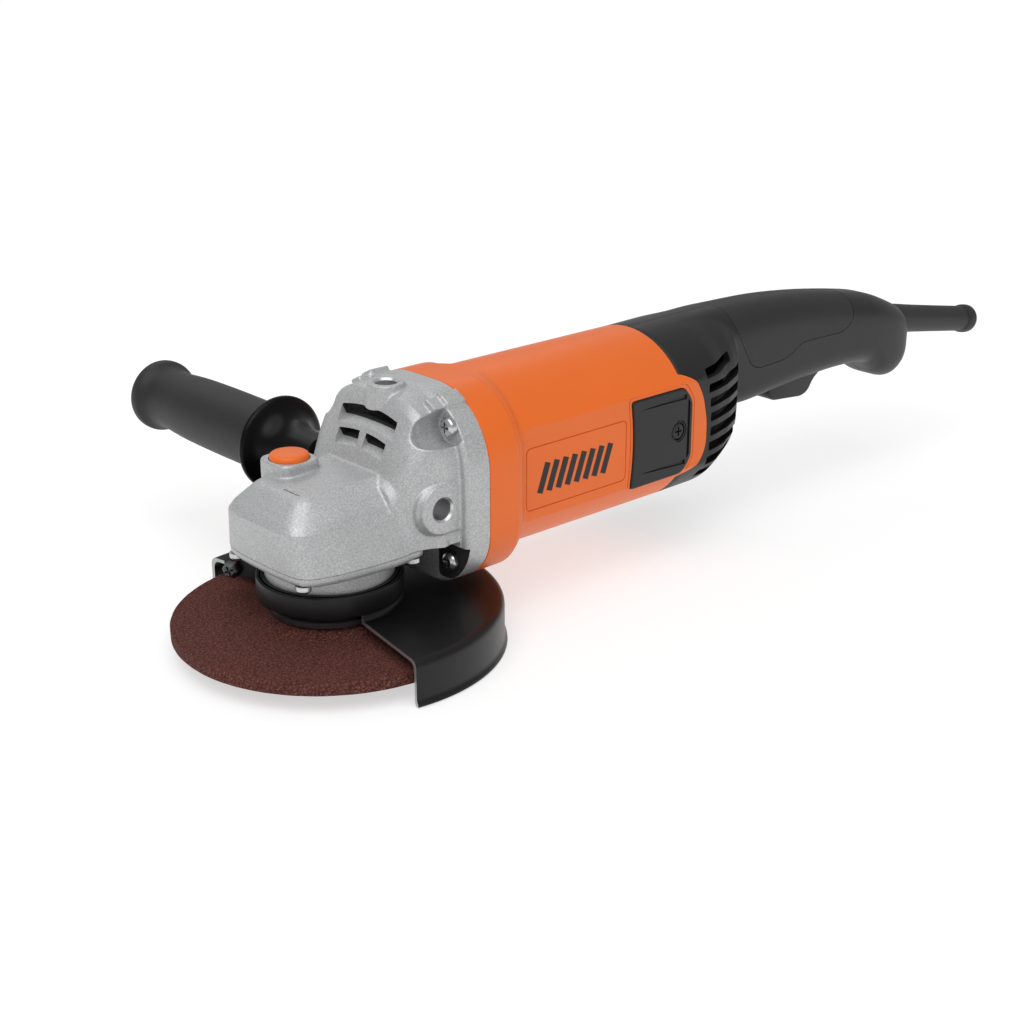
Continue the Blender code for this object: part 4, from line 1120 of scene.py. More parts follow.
def lock_button():
    r = BUTTON_R
    cap = [(0, BUTTON_LOW), (r, BUTTON_LOW), (r, BUTTON_TOP - 1.9), (r - 0.35, BUTTON_TOP - 1.2),
           (r - 1.0, BUTTON_TOP - 0.7), (r - 2.4, BUTTON_TOP - 0.35), (r - 3.4, BUTTON_TOP - 0.25),
           (4.0, BUTTON_TOP - 0.05), (0, BUTTON_TOP)]
    obj = to_object("lock_button_cap", oriented(turned(cap), "Z", (LOCK_X, LOCK_Y, 0)), orange_plastic())
    return finished(obj, "spindle_lock", "orange_plastic", "lock_button")


# ---------------------------------------------------------------- wheel and guard

def wheel_guard():
    """A half pan with a rolled lip, which grows out of a collar in a wide fillet."""
    inner = GUARD_R - 1.8
    fillet_in = [(34.4, 13.8), (33.3, 14.4), (32.6, 15.6), (32.4, 17.2)]
    pan = rounded([
        (30.7, 12.0), (inner, 12.0), (inner, GUARD_LIP + 1.6), (inner + 0.7, GUARD_LIP),
        (GUARD_R + 1.4, GUARD_LIP), (GUARD_R + 1.2, GUARD_LIP + 1.0), (GUARD_R, GUARD_LIP + 3.0),
        (GUARD_R, 13.8),
    ], 4.2, 6)[7:] + fillet_in + [(32.4, 22.0), (30.7, 22.0), (30.7, 12.0)]
    sweep = 2 * GUARD_HALF_ANGLE
    obj = to_object("guard_shell", turned(pan, 90, -GUARD_HALF_ANGLE, sweep), guard_paint())
    join(obj, turned(ring_profile(30.7, 32.4, 17.2, 28.2), start=3.0))
    limit = math.cos(math.radians(GUARD_HALF_ANGLE)) + 0.004

    def at_cut(centre, normal):
        reach = math.hypot(centre.x, centre.y)
        return reach > 34.0 and abs(normal.z) < 0.2 and centre.x / reach < limit

    paint(obj, cut_edge(), at_cut)
    return finished(obj, "guard", "guard_paint", "wheel_guard")


def guard_clamp():
    angle = math.radians(CLAMP_ANGLE)
    outward = Vector((math.cos(angle), math.sin(angle), 0))
    along = Vector((-math.sin(angle), math.cos(angle), 0))
    opening = 7.0
    profile = rounded(ring_profile(32.8, 34.6, 17.6, 28.0), 0.7, 4)
    band = turned(profile, 120, CLAMP_ANGLE + opening / 2, 360 - opening)
    obj = to_object("guard_band", band, guard_paint())
    for offset in (-3.6, 3.6):
        corners = []
        for reach, shift in ((33.4, -1.1), (53.9, -1.1), (53.9, 1.1), (33.4, 1.1)):
            place = outward * reach + along * (offset + shift)
            corners.append((place.x, place.y))
        join(obj, prism(corners, "Z", 18.4, 27.2))
    centre = outward * CLAMP_R + Vector((0, 0, 22.8))
    spin = Vector((0, 0, 1)).rotation_difference(along).to_matrix().to_4x4()
    cut(obj, moved(cylinder(2.7, -12, 12), Matrix.Translation(centre) @ spin))
    finished(obj, "guard", "guard_paint", "guard_clamp_band")
    bolt = screws("clamp_bolt", [(centre + along * 9.4, -along)], 4.4, 4.2, 2.3, 18.0, dark_steel(), 6)
    finished(bolt, "guard", "dark_steel", "guard_clamp_bolt")


def grinding_wheel():
    """The depressed-centre wheel. Its rim and faces waver slightly, as pressed grit does."""
    radius = node_box("grinding_wheel")[1][0]
    top = curved([(33.5, 6.0), (31.4, 6.9), (28.4, 9.3), (26.0, 10.3), (23.0, 10.5)], 4)
    under = curved([(20.0, 4.5), (23.5, 4.3), (27.5, 2.0), (31.5, 0.2), (34.5, 0.0)], 4)
    rim = [(radius - 0.5, 0.0), (radius, 0.5), (radius, 3.0), (radius, 5.4), (radius - 0.6, 6.0)]
    inner_rings = [(r, 0.0) for r in range(42, 75, 8)]
    upper_rings = [(r, 6.0) for r in range(66, 36, -8)]
    profile = [(11.2, 4.5)] + under + inner_rings + rim + upper_rings + top + [(11.2, 10.5)]
    obj = to_object("abrasive_wheel", turned(profile, 180), wheel_grit())
    for vertex in obj.data.vertices:
        place = vertex.co / MM
        reach = math.hypot(place.x, place.y)
        if reach > 24.0:
            turn = math.atan2(place.y, place.x)
            wave = math.sin(11 * turn) + math.sin(23 * turn + 1.3) + math.sin(41 * turn + 2.1)
            pull = 0.05 * wave * min(1.0, (reach - 24.0) / 50.0)
            vertex.co.x *= 1 - abs(pull) / reach
            vertex.co.y *= 1 - abs(pull) / reach
    return finished(obj, "spindle_set", "wheel_grit", "grinding_wheel")


def clamp_nut():
    profile = [(7.3, -1.4), (18.4, -1.4), (19.2, -1.1), (20.3, 0.0), (20.6, 0.8), (20.6, 4.2), (10.8, 4.2),
               (10.8, 5.8), (7.3, 5.8)]
    obj = to_object("locking_nut", turned(profile), dark_steel())
    for k in range(4):
        turn = k * (math.pi / 2)
        cut(obj, cylinder(2.4, -5.0, 1.6, "Z", (15.0 * math.cos(turn), 15.0 * math.sin(turn), 0), 32))
    return finished(obj, "spindle_set", "dark_steel", "clamp_nut")


def threaded_spindle():
    """The spindle with a rolled thread on its nose."""
    pitch, root, crest = 2.0, 6.35, 7.0
    low = node_box("spindle")[0][2]
    profile = [(0, low), (root - 0.4, low), (root, low + 0.5)]
    z = low + 0.5
    while z < low + 16.0:
        profile += [(root, z + 0.3), (crest, z + 0.9), (crest, z + 1.2)]
        z += pitch
    profile += [(root, 16.7), (8.4, 16.9), (8.4, 40.0), (7.9, 40.0), (7.9, 60.0), (5.0, 60.0), (5.0, 69.4),
                (4.4, 70.0), (0, 70.0)]
    obj = to_object("threaded_spindle", turned(profile, 64), bright_steel())
    return finished(obj, "spindle_set", "bright_steel", "spindle", angle=25.0)


def inner_flange():
    profile = [(7.3, 6.2), (10.8, 6.2), (10.8, 10.8), (29.4, 10.8), (30.0, 11.3), (30.0, 13.6),
               (29.4, 14.2), (27.4, 14.2), (27.4, 16.3), (27.0, 16.6), (7.3, 16.6)]
    obj = to_object("backing_flange", turned(profile), dark_steel())
    return finished(obj, "spindle_set", "dark_steel", "inner_flange")


# ---------------------------------------------------------------- motor housing

def lobe_outline(grow=0.0):
    """The side lobe of the housing that runs back past the seam round the brush cover."""
    outline = [(186, 33.5), (198, 36.7), (205, 38.0), (212, 42.0), (215.8, 50.0), (215.8, 63.0),
               (212.5, 77.0), (207.0, 86.7), (198, 91.2), (186, 92.5)]
    centre = Vector((190.0, BRUSH_COVER_Z))
    grown = []
    for point in outline:
        away = Vector(point) - centre
        grown.append(tuple(Vector(point) + away.normalized() * grow))
    return rounded(grown, 4.0, 5)


def brush_cover_outline(grow=0.0):
    """Concave at the front and well rounded at the two rear corners."""
    front = [(158.6 + 2.0 * (1 - ((z - 62) / 23.2) ** 2) - grow, z) for z in (80, 74, 68, 62, 56, 50, 44)]
    corners = [(158.6 - grow, 85 + grow)] + front + [(158.6 - grow, 38.8 - grow)]
    rear = [(197 + grow, 38.8 - grow), (203.5 + grow, 46.5), (203.5 + grow, 77.3), (197 + grow, 85 + grow)]
    return rounded(corners + rear, 3.6, 6)


BADGE_LOW, BADGE_HIGH = (87.8, 45.4), (155.0, 76.3)


def panel_outline(grow):
    """The rounded edge of the badge panel."""
    (left, low), (right, high) = BADGE_LOW, BADGE_HIGH
    return rounded([(left - grow, low - grow), (right + grow, low - grow),
                    (right + grow, high + grow), (left - grow, high + grow)], 3.2)


def sunk_lines(outer, inner, depth):
    """Cutters of the thin line between two outlines, sunk in both side walls."""
    lines = []
    for side in SIDES:
        low, high = span(side, BARREL_HALF - depth, BARREL_HALF + 4.0)
        line = to_object("line_tool", prism(outer, "Y", low, high))
        lines.append(cut(line, prism(inner, "Y", low - 5, high + 5)))
    return lines


def motor_housing():
    front = FLANGE_JOINT + GAP / 2
    rings = [
        flange_section(front, 0.5), flange_section(front + 0.5), flange_section(FLANGE_REAR - 2.6),
        flange_section(FLANGE_REAR - 1.2, 0.12), flange_section(FLANGE_REAR - 0.4, 0.5),
        flange_section(FLANGE_REAR + 0.2, 1.1),
    ]
    barrel_start = barrel_section(87.5)
    rings += eased(rings[-1], barrel_start, 9)
    rings += [barrel_start, barrel_section(BARREL_END - 0.6), barrel_section(BARREL_END - GAP / 2, 0.35)]
    obj = to_object("housing_shell", loft(rings), orange_plastic())
    for side in SIDES:
        lobe = to_object("lobe", prism(lobe_outline(), "Y", *span(side, 30.0, 50.0)))
        keep(lobe, loft([barrel_section(180.0), barrel_section(220.0)]))
        join(obj, cut(lobe, loft([barrel_section(170.0, WALL), barrel_section(230.0, WALL)])))
    hollow = to_object("hollow", loft([barrel_section(50.0, WALL), barrel_section(BARREL_END + 4.0, WALL)]))
    cut(hollow, box((189.5, -18.0, 10.0), (196.5, 18.0, 120.0)),
        box((189.5, -60.0, 55.5), (196.5, 60.0, 69.5)))
    cut(obj, hollow)
    cut(obj, cylinder(13.3, 180.0, 200.0, "X", (0, 0, MOTOR_Z)),
        *side_plates(brush_cover_outline(GAP), BARREL_HALF - 7.0, BARREL_HALF + 5.0))
    cut(obj, *sunk_lines(panel_outline(0.55), panel_outline(0.0), 0.45))
    cut(obj, *sunk_lines(brush_cover_outline(2.2), brush_cover_outline(1.75), 0.35))
    for y, z in case_screw_places():
        cut(obj, cylinder(2.7, 50.0, 76.5, "X", (0, y, z), 24))
    for side in (1, -1):
        cut(obj, brush_screw_hole(side, 24.0))
    return finished(obj, "machine", "orange_plastic", "motor_housing", angle=30.0)


def brush_screw_hole(side, start):
    return cylinder(1.9, *span(side, start, 60.0), "Y", (BRUSH_SCREW_X, 0, BRUSH_COVER_Z), 24)


def badge():
    """Slanted bars printed in the housing's side panels: a plain pattern that names nobody."""
    count = sizes().badge_bars
    bar = (3.7 * MM, 0.5 * MM, 15.5 * MM)
    first_x, pitch = 99.0, 6.1
    centre_z = (BADGE_LOW[1] + BADGE_HIGH[1]) / 2 - 1.0
    for side, word in SIDE_WORDS:
        values = {
            "Count": count, "Size": bar, "Slant": math.radians(20.0), "Material": black_plastic(),
            "Start": tuple(Vector((first_x, side * (BARREL_HALF - 0.15), centre_z)) * MM),
            "Step": (pitch * MM, 0.0, 0.0),
        }
        obj = laid_out(f"badge_bars_{word}", row_layout, values)
        finished(obj, "machine", "black_plastic")


def brush_covers():
    """The two screwed covers over the brushes, with a raised panel, tapering grooves and a screw well."""
    outer_y = BARREL_HALF + 0.9
    groove_y = outer_y - 0.85
    levels = [(BARREL_HALF - 2.6, 0.0), (outer_y - 0.6, 0.0), (outer_y - 0.2, -0.25), (outer_y, -0.7)]
    well = [(0, outer_y - 1.5), (4.8, outer_y - 1.5), (4.8, outer_y - 0.3), (5.1, outer_y), (5.1, 60),
            (0, 60)]
    for side, word in SIDE_WORDS:
        rings = [[(x, side * y, z) for x, z in brush_cover_outline(grow)] for y, grow in levels]
        obj = to_object(f"brush_cover_plate_{word}", loft(rings), black_plastic())
        for up in SIDES:
            base = BRUSH_COVER_Z + up * 17.0
            groove = [(164.0, base - up * 0.1), (198.6, base + up * 1.9), (198.6, base - up * 0.7)]
            cut(obj, prism(groove, "Y", *span(side, groove_y, 60.0)))
        rear = rounded([(199.6, BRUSH_COVER_Z - 16.2), (201.4, BRUSH_COVER_Z - 14.2),
                        (201.4, BRUSH_COVER_Z + 14.2), (199.6, BRUSH_COVER_Z + 16.2)], 0.6, 2)
        cut(obj, prism(rear, "Y", *span(side, groove_y, 60.0)))
        spot = Matrix.Translation((BRUSH_SCREW_X, 0, BRUSH_COVER_Z)) @ facing(side)
        cut(obj, moved(turned(well, 64), spot), brush_screw_hole(side, 30.0))
        arc = turned(ring_profile(5.3, 5.9, outer_y - 0.9, 60.0), 24, -100.0, 200.0)
        cut(obj, moved(arc, spot))
        finished(obj, "machine", "black_plastic", f"brush_cover_{word}", angle=14.0)
    places = [((BRUSH_SCREW_X, side * outer_y, BRUSH_COVER_Z), (0, -side, 0)) for side in SIDES]
    obj = screws("brush_cover_screws", places, 4.2, 1.3, 1.6, 14.0, black_oxide())
    finished(obj, "machine", "bright_steel", "brush_cover_screw_left", "brush_cover_screw_right")


def commutator():
    low, high = node_box("commutator")
    length = high[0] - low[0] - 4.0
    count = sizes().commutator_bars
    bar = (3.0 * MM, (math.tau * 12.0 / count - 0.6) * MM, length * MM)
    obj = laid_out("commutator_bars", ring_layout, {
        "Count": count, "Radius": 12.0 * MM, "Size": bar, "Material": commutator_copper(),
    })
    centre = ((low[0] + high[0]) / 2 + 2.0, 0.0, MOTOR_Z)
    obj.data.transform(Matrix.Translation(Vector(centre) * MM) @ TURNS["X"])
    start = low[0] - centre[0]
    hub = [(6.8, start), (15.5, start), (15.5, start + 3.0), (13.5, start + 4.0), (10.8, start + 4.0),
           (10.8, length / 2), (6.8, length / 2)]
    core = to_object("commutator_hub", oriented(turned(hub, 64), "X", centre), black_plastic())
    finished(obj, "armature", "copper")
    return finished(core, "armature", "copper", "commutator")


# ---------------------------------------------------------------- rear handle

def tail_cap(inset=0.0):
    """The round tail behind the motor that the grip grows out of."""
    first = BARREL_END + GAP / 2 - (8.0 if inset else 0.0)
    table = [
        (first, 40.0, 17.05, 109.55), (224.0, 40.0, 17.3, 110.0), (236.0, 38.2, 19.5, 110.2),
        (246.0, 34.2, 24.5, 110.2), (253.0, 28.5, 31.5, 110.0), (257.5, 21.5, 41.0, 109.5),
        (259.5, 15.0, 52.0, 106.0),
    ]

    def ring(x, half, low, high):
        past = min(1.0, max(0.0, (x - 224.0) / 12.0))
        radius = (high - low) / 2 * (1 - past) + half * past - inset
        return section(x - inset * past, half - inset, low + inset, high - inset, 0.0, radius, 0.0, radius)

    rings = []
    for row, after in zip(table, table[1:]):
        for k in range(4):
            rings.append(ring(*[a + (b - a) * k / 4 for a, b in zip(row, after)]))
    return loft(rings + [ring(*table[-1])])


def grip_body(inset=0.0):
    """The grip, from sections listed as x, half width, lowest and highest z, and two corner radii."""
    table = [
        (226.0, 20.0, 72.0, 109.6, 15.0, 8.0), (250.0, 21.5, 60.0, 110.2, 17.0, 8.0),
        (268.0, 21.0, 55.5, 110.0, 17.0, 8.0), (300.0, 20.2, 56.5, 108.9, 16.0, 9.0),
        (330.0, 19.6, 57.5, 106.3, 16.0, 10.0), (358.0, 19.4, 58.0, 102.5, 16.0, 10.0),
        (384.0, 19.6, 56.5, 98.0, 16.0, 10.0), (394.0, 19.6, 51.0, 95.6, 16.0, 12.0),
        (403.0, 19.4, 44.5, 92.6, 16.0, 13.0), (413.0, 18.8, 41.3, 88.6, 16.0, 14.0),
        (421.0, 17.4, 43.0, 85.0, 15.0, 14.0), (427.0, 14.4, 48.0, 81.0, 12.0, 12.0),
        (430.5, 10.0, 54.5, 77.0, 9.0, 9.0),
    ]

    def ring(x, half, low, high, top_r, low_r):
        squeeze = inset * min(1.0, max(0.0, (x - 421.0) / 9.0))
        return rounded_section(x - squeeze, half - inset, low + inset, high - inset,
                               max(top_r - inset, 3.0), max(low_r - inset, 3.0))

    return loft([ring(*row) for row in curved(table, 5)])


def pad_outline(grow=0.0):
    """The soft panel's edge on the grip's side, running up and over the top."""
    outline = [(259.5 - grow, 130), (259.5 - grow, 101), (266.0 - grow, 89.0), (273.0 - grow, 78 - grow),
               (279.0, 75.0 - grow), (302.0, 75.4 - grow), (309.0, 77.6 - grow), (318.0, 82.4 - grow),
               (356.0 + grow, 81.6 - grow), (364.0 + grow, 86.0), (367.0 + grow, 95.0 - grow),
               (366.0 + grow, 130)]
    return rounded(outline, 4.5, 5)


def along_boot(profile):
    x, z = BOOT_START
    place = Matrix.Translation((x, 0, z)) @ Matrix.Rotation(math.radians(90 + BOOT_TILT), 4, "Y")
    return moved(turned(profile, 64), place)


def louvre_slots():
    """Slanted slots round the rear corners of the tail, on both sides."""
    count = 8
    slots = []
    for side in SIDES:
        for k in range(count):
            z = 88.6 - 8.0 * k
            front = 214.0 + 5.0 * math.sin(math.pi * (k + 0.5) / count)
            rear = 252.0 if 0 < k < 6 else 241.0
            outline = [(front, z - 2.8), (rear, z + 0.6), (rear, z + 5.4), (front, z + 2.0)]
            slots.append(prism(rounded(outline, 0.9, 3), "Y", *span(side, 24.0, 60.0)))
    return slots


def handle_shells():
    obj = to_object("rear_shell_left", tail_cap(), black_plastic())
    join(obj, grip_body())
    softened(obj, sizes().shell_grain, sizes().shell_softness, 0.5)
    front = BARREL_END + GAP / 2
    join(obj, loft([barrel_section(front, 0.35), barrel_section(front + 0.5), barrel_section(front + 6.0)]))
    cut(obj, tail_cap(WALL), *side_plates(lobe_outline(GAP), BARREL_HALF - WALL - 0.6, BARREL_HALF + 5))
    recess = to_object("recess", grip_body(-2.0))
    keep(recess, prism(pad_outline(GAP), "Y", -40, 40))
    cut(recess, grip_body(2.9))
    cut(obj, recess, grip_body(5.4), box((299.0, -12.3, 30.0), (352.0, 12.3, 74.0)))
    seat = [(0, -12), (9.4, -12), (9.4, -6.6), (7.9, -6.6), (7.9, -3), (9.4, -3), (9.4, 20), (0, 20)]
    cut(obj, along_boot(seat), *louvre_slots(), pin_hole(15.4))
    other = bpy.data.objects.new("rear_shell_right", obj.data.copy())
    bpy.context.scene.collection.objects.link(other)
    keep(obj, box((150, -60, -20), (460, -GAP / 2, 140)))
    keep(other, box((150, GAP / 2, -20), (460, 60, 140)))
    for shell, (side, word) in zip((obj, other), SIDE_WORDS):
        for x, z in HANDLE_SCREWS:
            join(shell, cylinder(4.6, *span(side, GAP / 2, 15.6), "Y", (x, 0, z)))
        for x, z in HANDLE_SCREWS:
            depth = 13.0 if side < 0 else 40.0
            cut(shell, cylinder(1.9, *span(side, -5.0, depth), "Y", (x, 0, z)))
            if side > 0:
                cut(shell, cylinder(3.9, 16.6, 40.0, "Y", (x, 0, z)))
        finished(shell, "machine", "black_plastic", f"handle_shell_{word}", angle=36.0)


def pin_hole(reach):
    """The hole of the trigger's pin."""
    return cylinder(2.3, -reach, reach, "Y", (TRIGGER_PIVOT[0], 0, TRIGGER_PIVOT[1]), 32)


def soft_grip():
    pad = to_object("grip_panel", grip_body(0.02), soft_rubber())
    softened(pad, sizes().shell_grain, sizes().shell_softness, 0.5)
    keep(pad, prism(pad_outline(), "Y", -40, 40))
    cut(pad, grip_body(2.6))
    return finished(pad, "machine", "soft_rubber", "soft_grip", angle=36.0)


def trigger():
    outline = [(300.5, 68.0), (300.5, 52.0), (305.0, 48.6), (331.0, 46.0), (336.5, 48.0), (341.0, 54.5),
               (349.5, 60.0), (349.5, 63.6), (330.0, 66.5), (314.0, 68.5)]
    shape = prism(rounded(outline, 2.8, 5), "Y", -11.8, 11.8)
    obj = edged(to_object("trigger_paddle", shape, black_plastic()), 1.3, 4, 50.0)
    cut(obj, pin_hole(20.0))
    return finished(obj, "trigger", "black_plastic", "trigger")


def handle_screws():
    places = [((x, 19.3, z), (0, -1, 0)) for x, z in HANDLE_SCREWS]
    obj = screws("handle_screws", places, 3.4, 2.4, 1.6, 30.0, black_oxide())
    return finished(obj, "machine", "dark_steel", "handle_screw_front", "handle_screw_rear")


def cord_guard():
    end = BOOT_LENGTH
    outer = curved([(8.9, 4.0), (8.5, 20.0), (8.2, 45.0), (8.0, end - 12.0), (8.15, end - 9.5),
                    (8.8, end - 7.4), (9.0, end - 5.0), (8.9, end - 2.0), (8.2, end - 0.5), (7.2, end)], 3)
    profile = [(3.8, -10.0), (9.0, -10.0), (9.0, -7.0), (7.5, -7.0), (7.5, -2.6), (9.0, -2.6)] + outer
    profile += [(4.6, end), (3.8, end - 0.8)]
    obj = to_object("strain_relief", along_boot(profile), soft_rubber())
    return finished(obj, "machine", "soft_rubber", "cord_guard")


# ---------------------------------------------------------------- side handle

def pad_groove(turn, place):
    """A thin groove round one flat of the side handle, sunk evenly in its round surface."""
    inner = rounded([(-8.0, 103.0), (8.5, 100.0), (10.5, 176.0), (-10.0, 176.0)], 5.0, 5)
    outer = rounded([(-8.5, 102.4), (9.0, 99.4), (11.1, 176.6), (-10.6, 176.6)], 5.2, 5)
    ring = to_object("groove", prism(outer, "X", 8.0, 30.0))
    cut(ring, prism(inner, "X", 5.0, 33.0))
    shape = moved(shape_of(ring), Matrix.Rotation(math.radians(90), 4, "X"))
    bmesh.ops.recalc_face_normals(shape, faces=shape.faces)
    ring = to_object("groove", moved(shape, Matrix.Rotation(turn, 4, "Z")))
    sunk = [(0, 90.0), (17.35, 90.0), (17.45, 135.0), (17.1, 162.0), (16.0, 182.0), (0, 182.0)]
    cut(ring, turned(sunk, 96))
    return moved(shape_of(ring), Matrix.Translation(place) @ TURNS["Y"])


def side_handle():
    place = (SOCKET_X, 0, SOCKET_Z)
    face = 42.0 + GAP
    flare = curved([(17.6, 89.6), (17.75, 110.0), (17.8, 135.0), (17.4, 160.0), (16.4, 176.0),
                    (15.9, 184.0), (16.4, 189.0), (17.8, 192.0), (19.1, 194.0), (19.4, 196.5),
                    (19.0, 199.4), (17.2, 201.1), (14.5, 201.6)], 4)
    neck = curved([(12.6, 49.0), (12.7, 60.0), (13.0, 69.0), (14.6, 76.0), (18.6, 81.0), (23.6, 83.6),
                   (24.6, 85.2), (24.0, 86.9), (20.0, 88.0)], 3)
    profile = [(4.3, face), (9.6, face), (10.0, face + 0.4), (10.0, 48.0), (12.2, 48.6)] + neck + flare
    profile += [(0, 201.6), (0, 96.0), (4.3, 96.0)]
    obj = to_object("side_handle_body", oriented(turned(profile), "Y", place), soft_rubber())
    cut(obj, *[pad_groove(math.radians(30 + 90 * k), place) for k in range(4)])
    paint(obj, hard_plastic(), lambda centre, normal: centre.y < HAND_STOP_END)
    return finished(obj, "machine", "soft_rubber", "side_handle_grip")


# ---------------------------------------------------------------- carried-over nodes

INNER_LOOKS = {
    bright_steel: ("spindle_bearing", "needle_bearing", "lock_pin", "lock_spring", "armature_shaft",
                   "front_bearing", "rear_bearing", "brush_spring_left", "brush_spring_right",
                   "trigger_pin", "trigger_spring", "side_handle_stud"),
    dark_steel: ("crown_gear", "pinion_gear"),
    laminations: ("stator_core", "armature_core"),
    wound_copper: ("field_coil_upper", "field_coil_lower", "armature_winding_front",
                   "armature_winding_rear"),
    brass: ("brush_holder_left", "brush_holder_right"),
    carbon: ("carbon_brush_left", "carbon_brush_right"),
    black_plastic: ("cooling_fan", "fan_baffle", "switch_body"),
    soft_rubber: ("dust_seal",),
}


def inner_nodes():
    for look, names in INNER_LOOKS.items():
        for name in names:
            dressed(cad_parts[name], look())


# ---------------------------------------------------------------- stage

def area_light(name, energy, size, place, target):
    data = bpy.data.lights.new(name, "AREA")
    data.energy = energy
    data.shape = "RECTANGLE"
    data.size, data.size_y = size
    obj = bpy.data.objects.new(name, data)
    obj.location = place
    obj.rotation_euler = (Vector(target) - Vector(place)).to_track_quat("-Z", "Y").to_euler()
    bpy.context.scene.collection.objects.link(obj)


def sun_light(name, strength, spread, origin):
    """Light from all of a wide patch of sky, the same everywhere on the floor."""
    data = bpy.data.lights.new(name, "SUN")
    data.energy = strength
    data.angle = math.radians(spread)
    obj = bpy.data.objects.new(name, data)
    obj.rotation_euler = Vector(origin).to_track_quat("Z", "Y").to_euler()
    bpy.context.scene.collection.objects.link(obj)


FLOOR_REACH = 12.0
FLOOR_DROP = 0.0006
SKY_STRENGTH = 0.45
LIGHTS_AIM = (0.16, 0.0, 0.05)
CAMERA_PLACE = (-0.4278, -0.5972, 0.3381)
CAMERA_TILT = math.radians(68.90)
CAMERA_TURN = math.radians(-42.25)
CAMERA_LENS = 59.77


def stage():
    scene = bpy.context.scene
    floor_z = CAD_BOX[0][2] - FLOOR_DROP
    mesh = bpy.data.meshes.new("studio_floor")
    corners = [(x * FLOOR_REACH, y * FLOOR_REACH, floor_z) for x, y in ((-1, -1), (1, -1), (1, 1), (-1, 1))]
    mesh.from_pydata(corners, [], [(0, 1, 2, 3)])
    mesh.materials.append(studio_paper())
    floor = bpy.data.objects.new("studio_floor", mesh)
    scene.collection.objects.link(floor)
    world = bpy.data.worlds.new("studio")
    world.use_nodes = True
    background = world.node_tree.nodes["Background"]
    background.inputs["Color"].default_value = (1.0, 1.0, 1.0, 1.0)
    background.inputs["Strength"].default_value = SKY_STRENGTH
    scene.world = world
    sun_light("sky", 1.6, 70.0, (-0.35, -0.3, 1.0))
    area_light("key", 1.0, (0.5, 0.5), (-0.45, -0.45, 0.85), LIGHTS_AIM)
    area_light("side", 0.2, (0.25, 1.1), (0.35, -1.2, 0.45), LIGHTS_AIM)
    area_light("rear", 1.2, (1.2, 0.25), (0.4, 0.8, 0.75), LIGHTS_AIM)
    scene.view_settings.view_transform = "Standard"
    data = bpy.data.cameras.new("studio_view")
    data.sensor_width = 36.0
    data.lens = CAMERA_LENS
    camera = bpy.data.objects.new("studio_view", data)
    camera.location = CAMERA_PLACE
    camera.rotation_euler = (CAMERA_TILT, 0.0, CAMERA_TURN)
    scene.collection.objects.link(camera)
    scene.camera = camera


# ---------------------------------------------------------------- operators

class Step:
    """Makes its pieces in turn. A piece that can't be made raises, and so does the step."""

    def execute(self, context):
        for make in self.makes:
            make()
        return {"FINISHED"}


class GRINDER_OT_stage(Step, Operator):
    """Floor, soft studio light and the camera"""

    bl_idname = "grinder.stage"
    bl_label = "Stage"
    makes = (stage,)


class GRINDER_OT_inner_parts(Step, Operator):
    """Finishes on the parts inside: bearings, gears, coils, brushes and springs"""

    bl_idname = "grinder.inner_parts"
    bl_label = "Inner parts"
    makes = (inner_nodes, commutator)


class GRINDER_OT_gear_case(Step, Operator):
    """The cast gear case with its bosses, vents and sockets"""

    bl_idname = "grinder.gear_case"
    bl_label = "Gear case"
    makes = (gear_case,)


class GRINDER_OT_gear_cover(Step, Operator):
    """The cast cover under the gear case, and the screws of both"""

    bl_idname = "grinder.gear_cover"
    bl_label = "Gear cover and screws"
    makes = (gear_cover, head_screws)


class GRINDER_OT_spindle_lock(Step, Operator):
    """The push button of the spindle lock"""

    bl_idname = "grinder.spindle_lock"
    bl_label = "Spindle lock button"
    makes = (lock_button,)


class GRINDER_OT_guard(Step, Operator):
    """The wheel guard with its clamping band and bolt"""

    bl_idname = "grinder.guard"
    bl_label = "Guard"
    makes = (wheel_guard, guard_clamp)


class GRINDER_OT_wheel(Step, Operator):
    """The grinding wheel on its spindle, between the backing flange and the nut"""

    bl_idname = "grinder.wheel"
    bl_label = "Wheel and spindle"
    makes = (grinding_wheel, clamp_nut, threaded_spindle, inner_flange)


class GRINDER_OT_housing(Step, Operator):
    """The motor housing and the bars in its side panels"""

    bl_idname = "grinder.housing"
    bl_label = "Motor housing"
    makes = (motor_housing, badge)


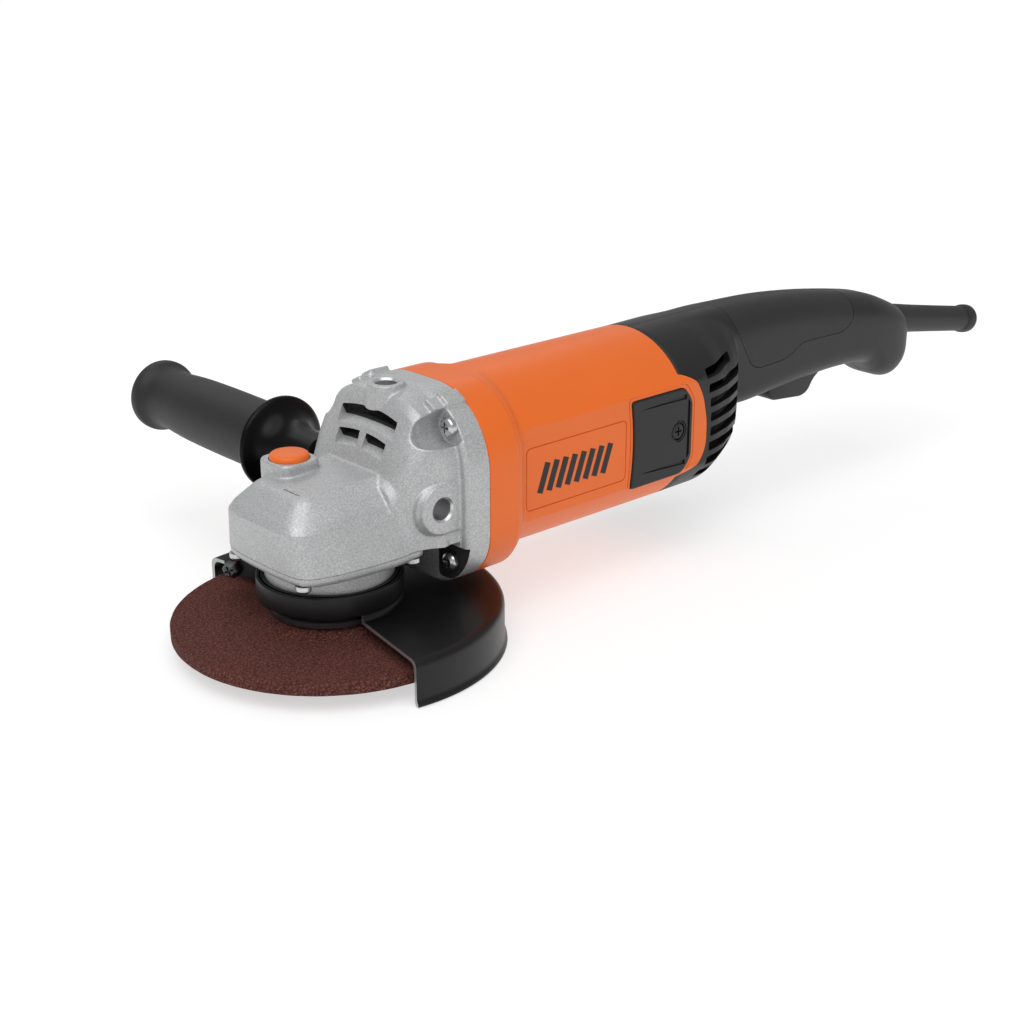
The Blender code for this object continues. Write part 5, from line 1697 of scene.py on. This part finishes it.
class GRINDER_OT_brush_covers(Step, Operator):
    """The two brush covers and their screws"""

    bl_idname = "grinder.brush_covers"
    bl_label = "Brush covers"
    makes = (brush_covers,)


class GRINDER_OT_rear_handle(Step, Operator):
    """The two handle shells, the soft panel, the screws and the cord guard"""

    bl_idname = "grinder.rear_handle"
    bl_label = "Rear handle"
    makes = (handle_shells, soft_grip, handle_screws, cord_guard)


class GRINDER_OT_trigger(Step, Operator):
    """The paddle of the trigger"""

    bl_idname = "grinder.trigger"
    bl_label = "Trigger"
    makes = (trigger,)


class GRINDER_OT_side_handle(Step, Operator):
    """The side handle with its hand stop"""

    bl_idname = "grinder.side_handle"
    bl_label = "Side handle"
    makes = (side_handle,)


STEPS = (
    GRINDER_OT_stage, GRINDER_OT_inner_parts, GRINDER_OT_gear_case, GRINDER_OT_gear_cover,
    GRINDER_OT_spindle_lock, GRINDER_OT_guard, GRINDER_OT_wheel, GRINDER_OT_housing,
    GRINDER_OT_brush_covers, GRINDER_OT_rear_handle, GRINDER_OT_trigger, GRINDER_OT_side_handle,
)


class GRINDER_PT_panel(Panel):
    """Lists the settings and the steps in the sidebar"""

    bl_idname = "GRINDER_PT_panel"
    bl_label = "Angle grinder"
    bl_space_type = "VIEW_3D"
    bl_region_type = "UI"
    bl_category = "Grinder"

    def draw(self, context):
        for group in (context.scene.grinder_sizes, context.scene.grinder_colours):
            box_area = self.layout.box()
            for name in group.__annotations__:
                box_area.prop(group, name)
        for step in STEPS:
            self.layout.operator(step.bl_idname)


CLASSES = (GrinderColours, GrinderSizes, *STEPS, GRINDER_PT_panel)


def register():
    for item in CLASSES:
        bpy.utils.register_class(item)
    bpy.types.Scene.grinder_sizes = PointerProperty(type=GrinderSizes)
    bpy.types.Scene.grinder_colours = PointerProperty(type=GrinderColours)


def unregister():
    del bpy.types.Scene.grinder_colours
    del bpy.types.Scene.grinder_sizes
    for item in reversed(CLASSES):
        bpy.utils.unregister_class(item)


def main():
    register()
    for step in STEPS:
        area, name = step.bl_idname.split(".")
        getattr(getattr(bpy.ops, area), name)()


if __name__ == "__main__":
    main()
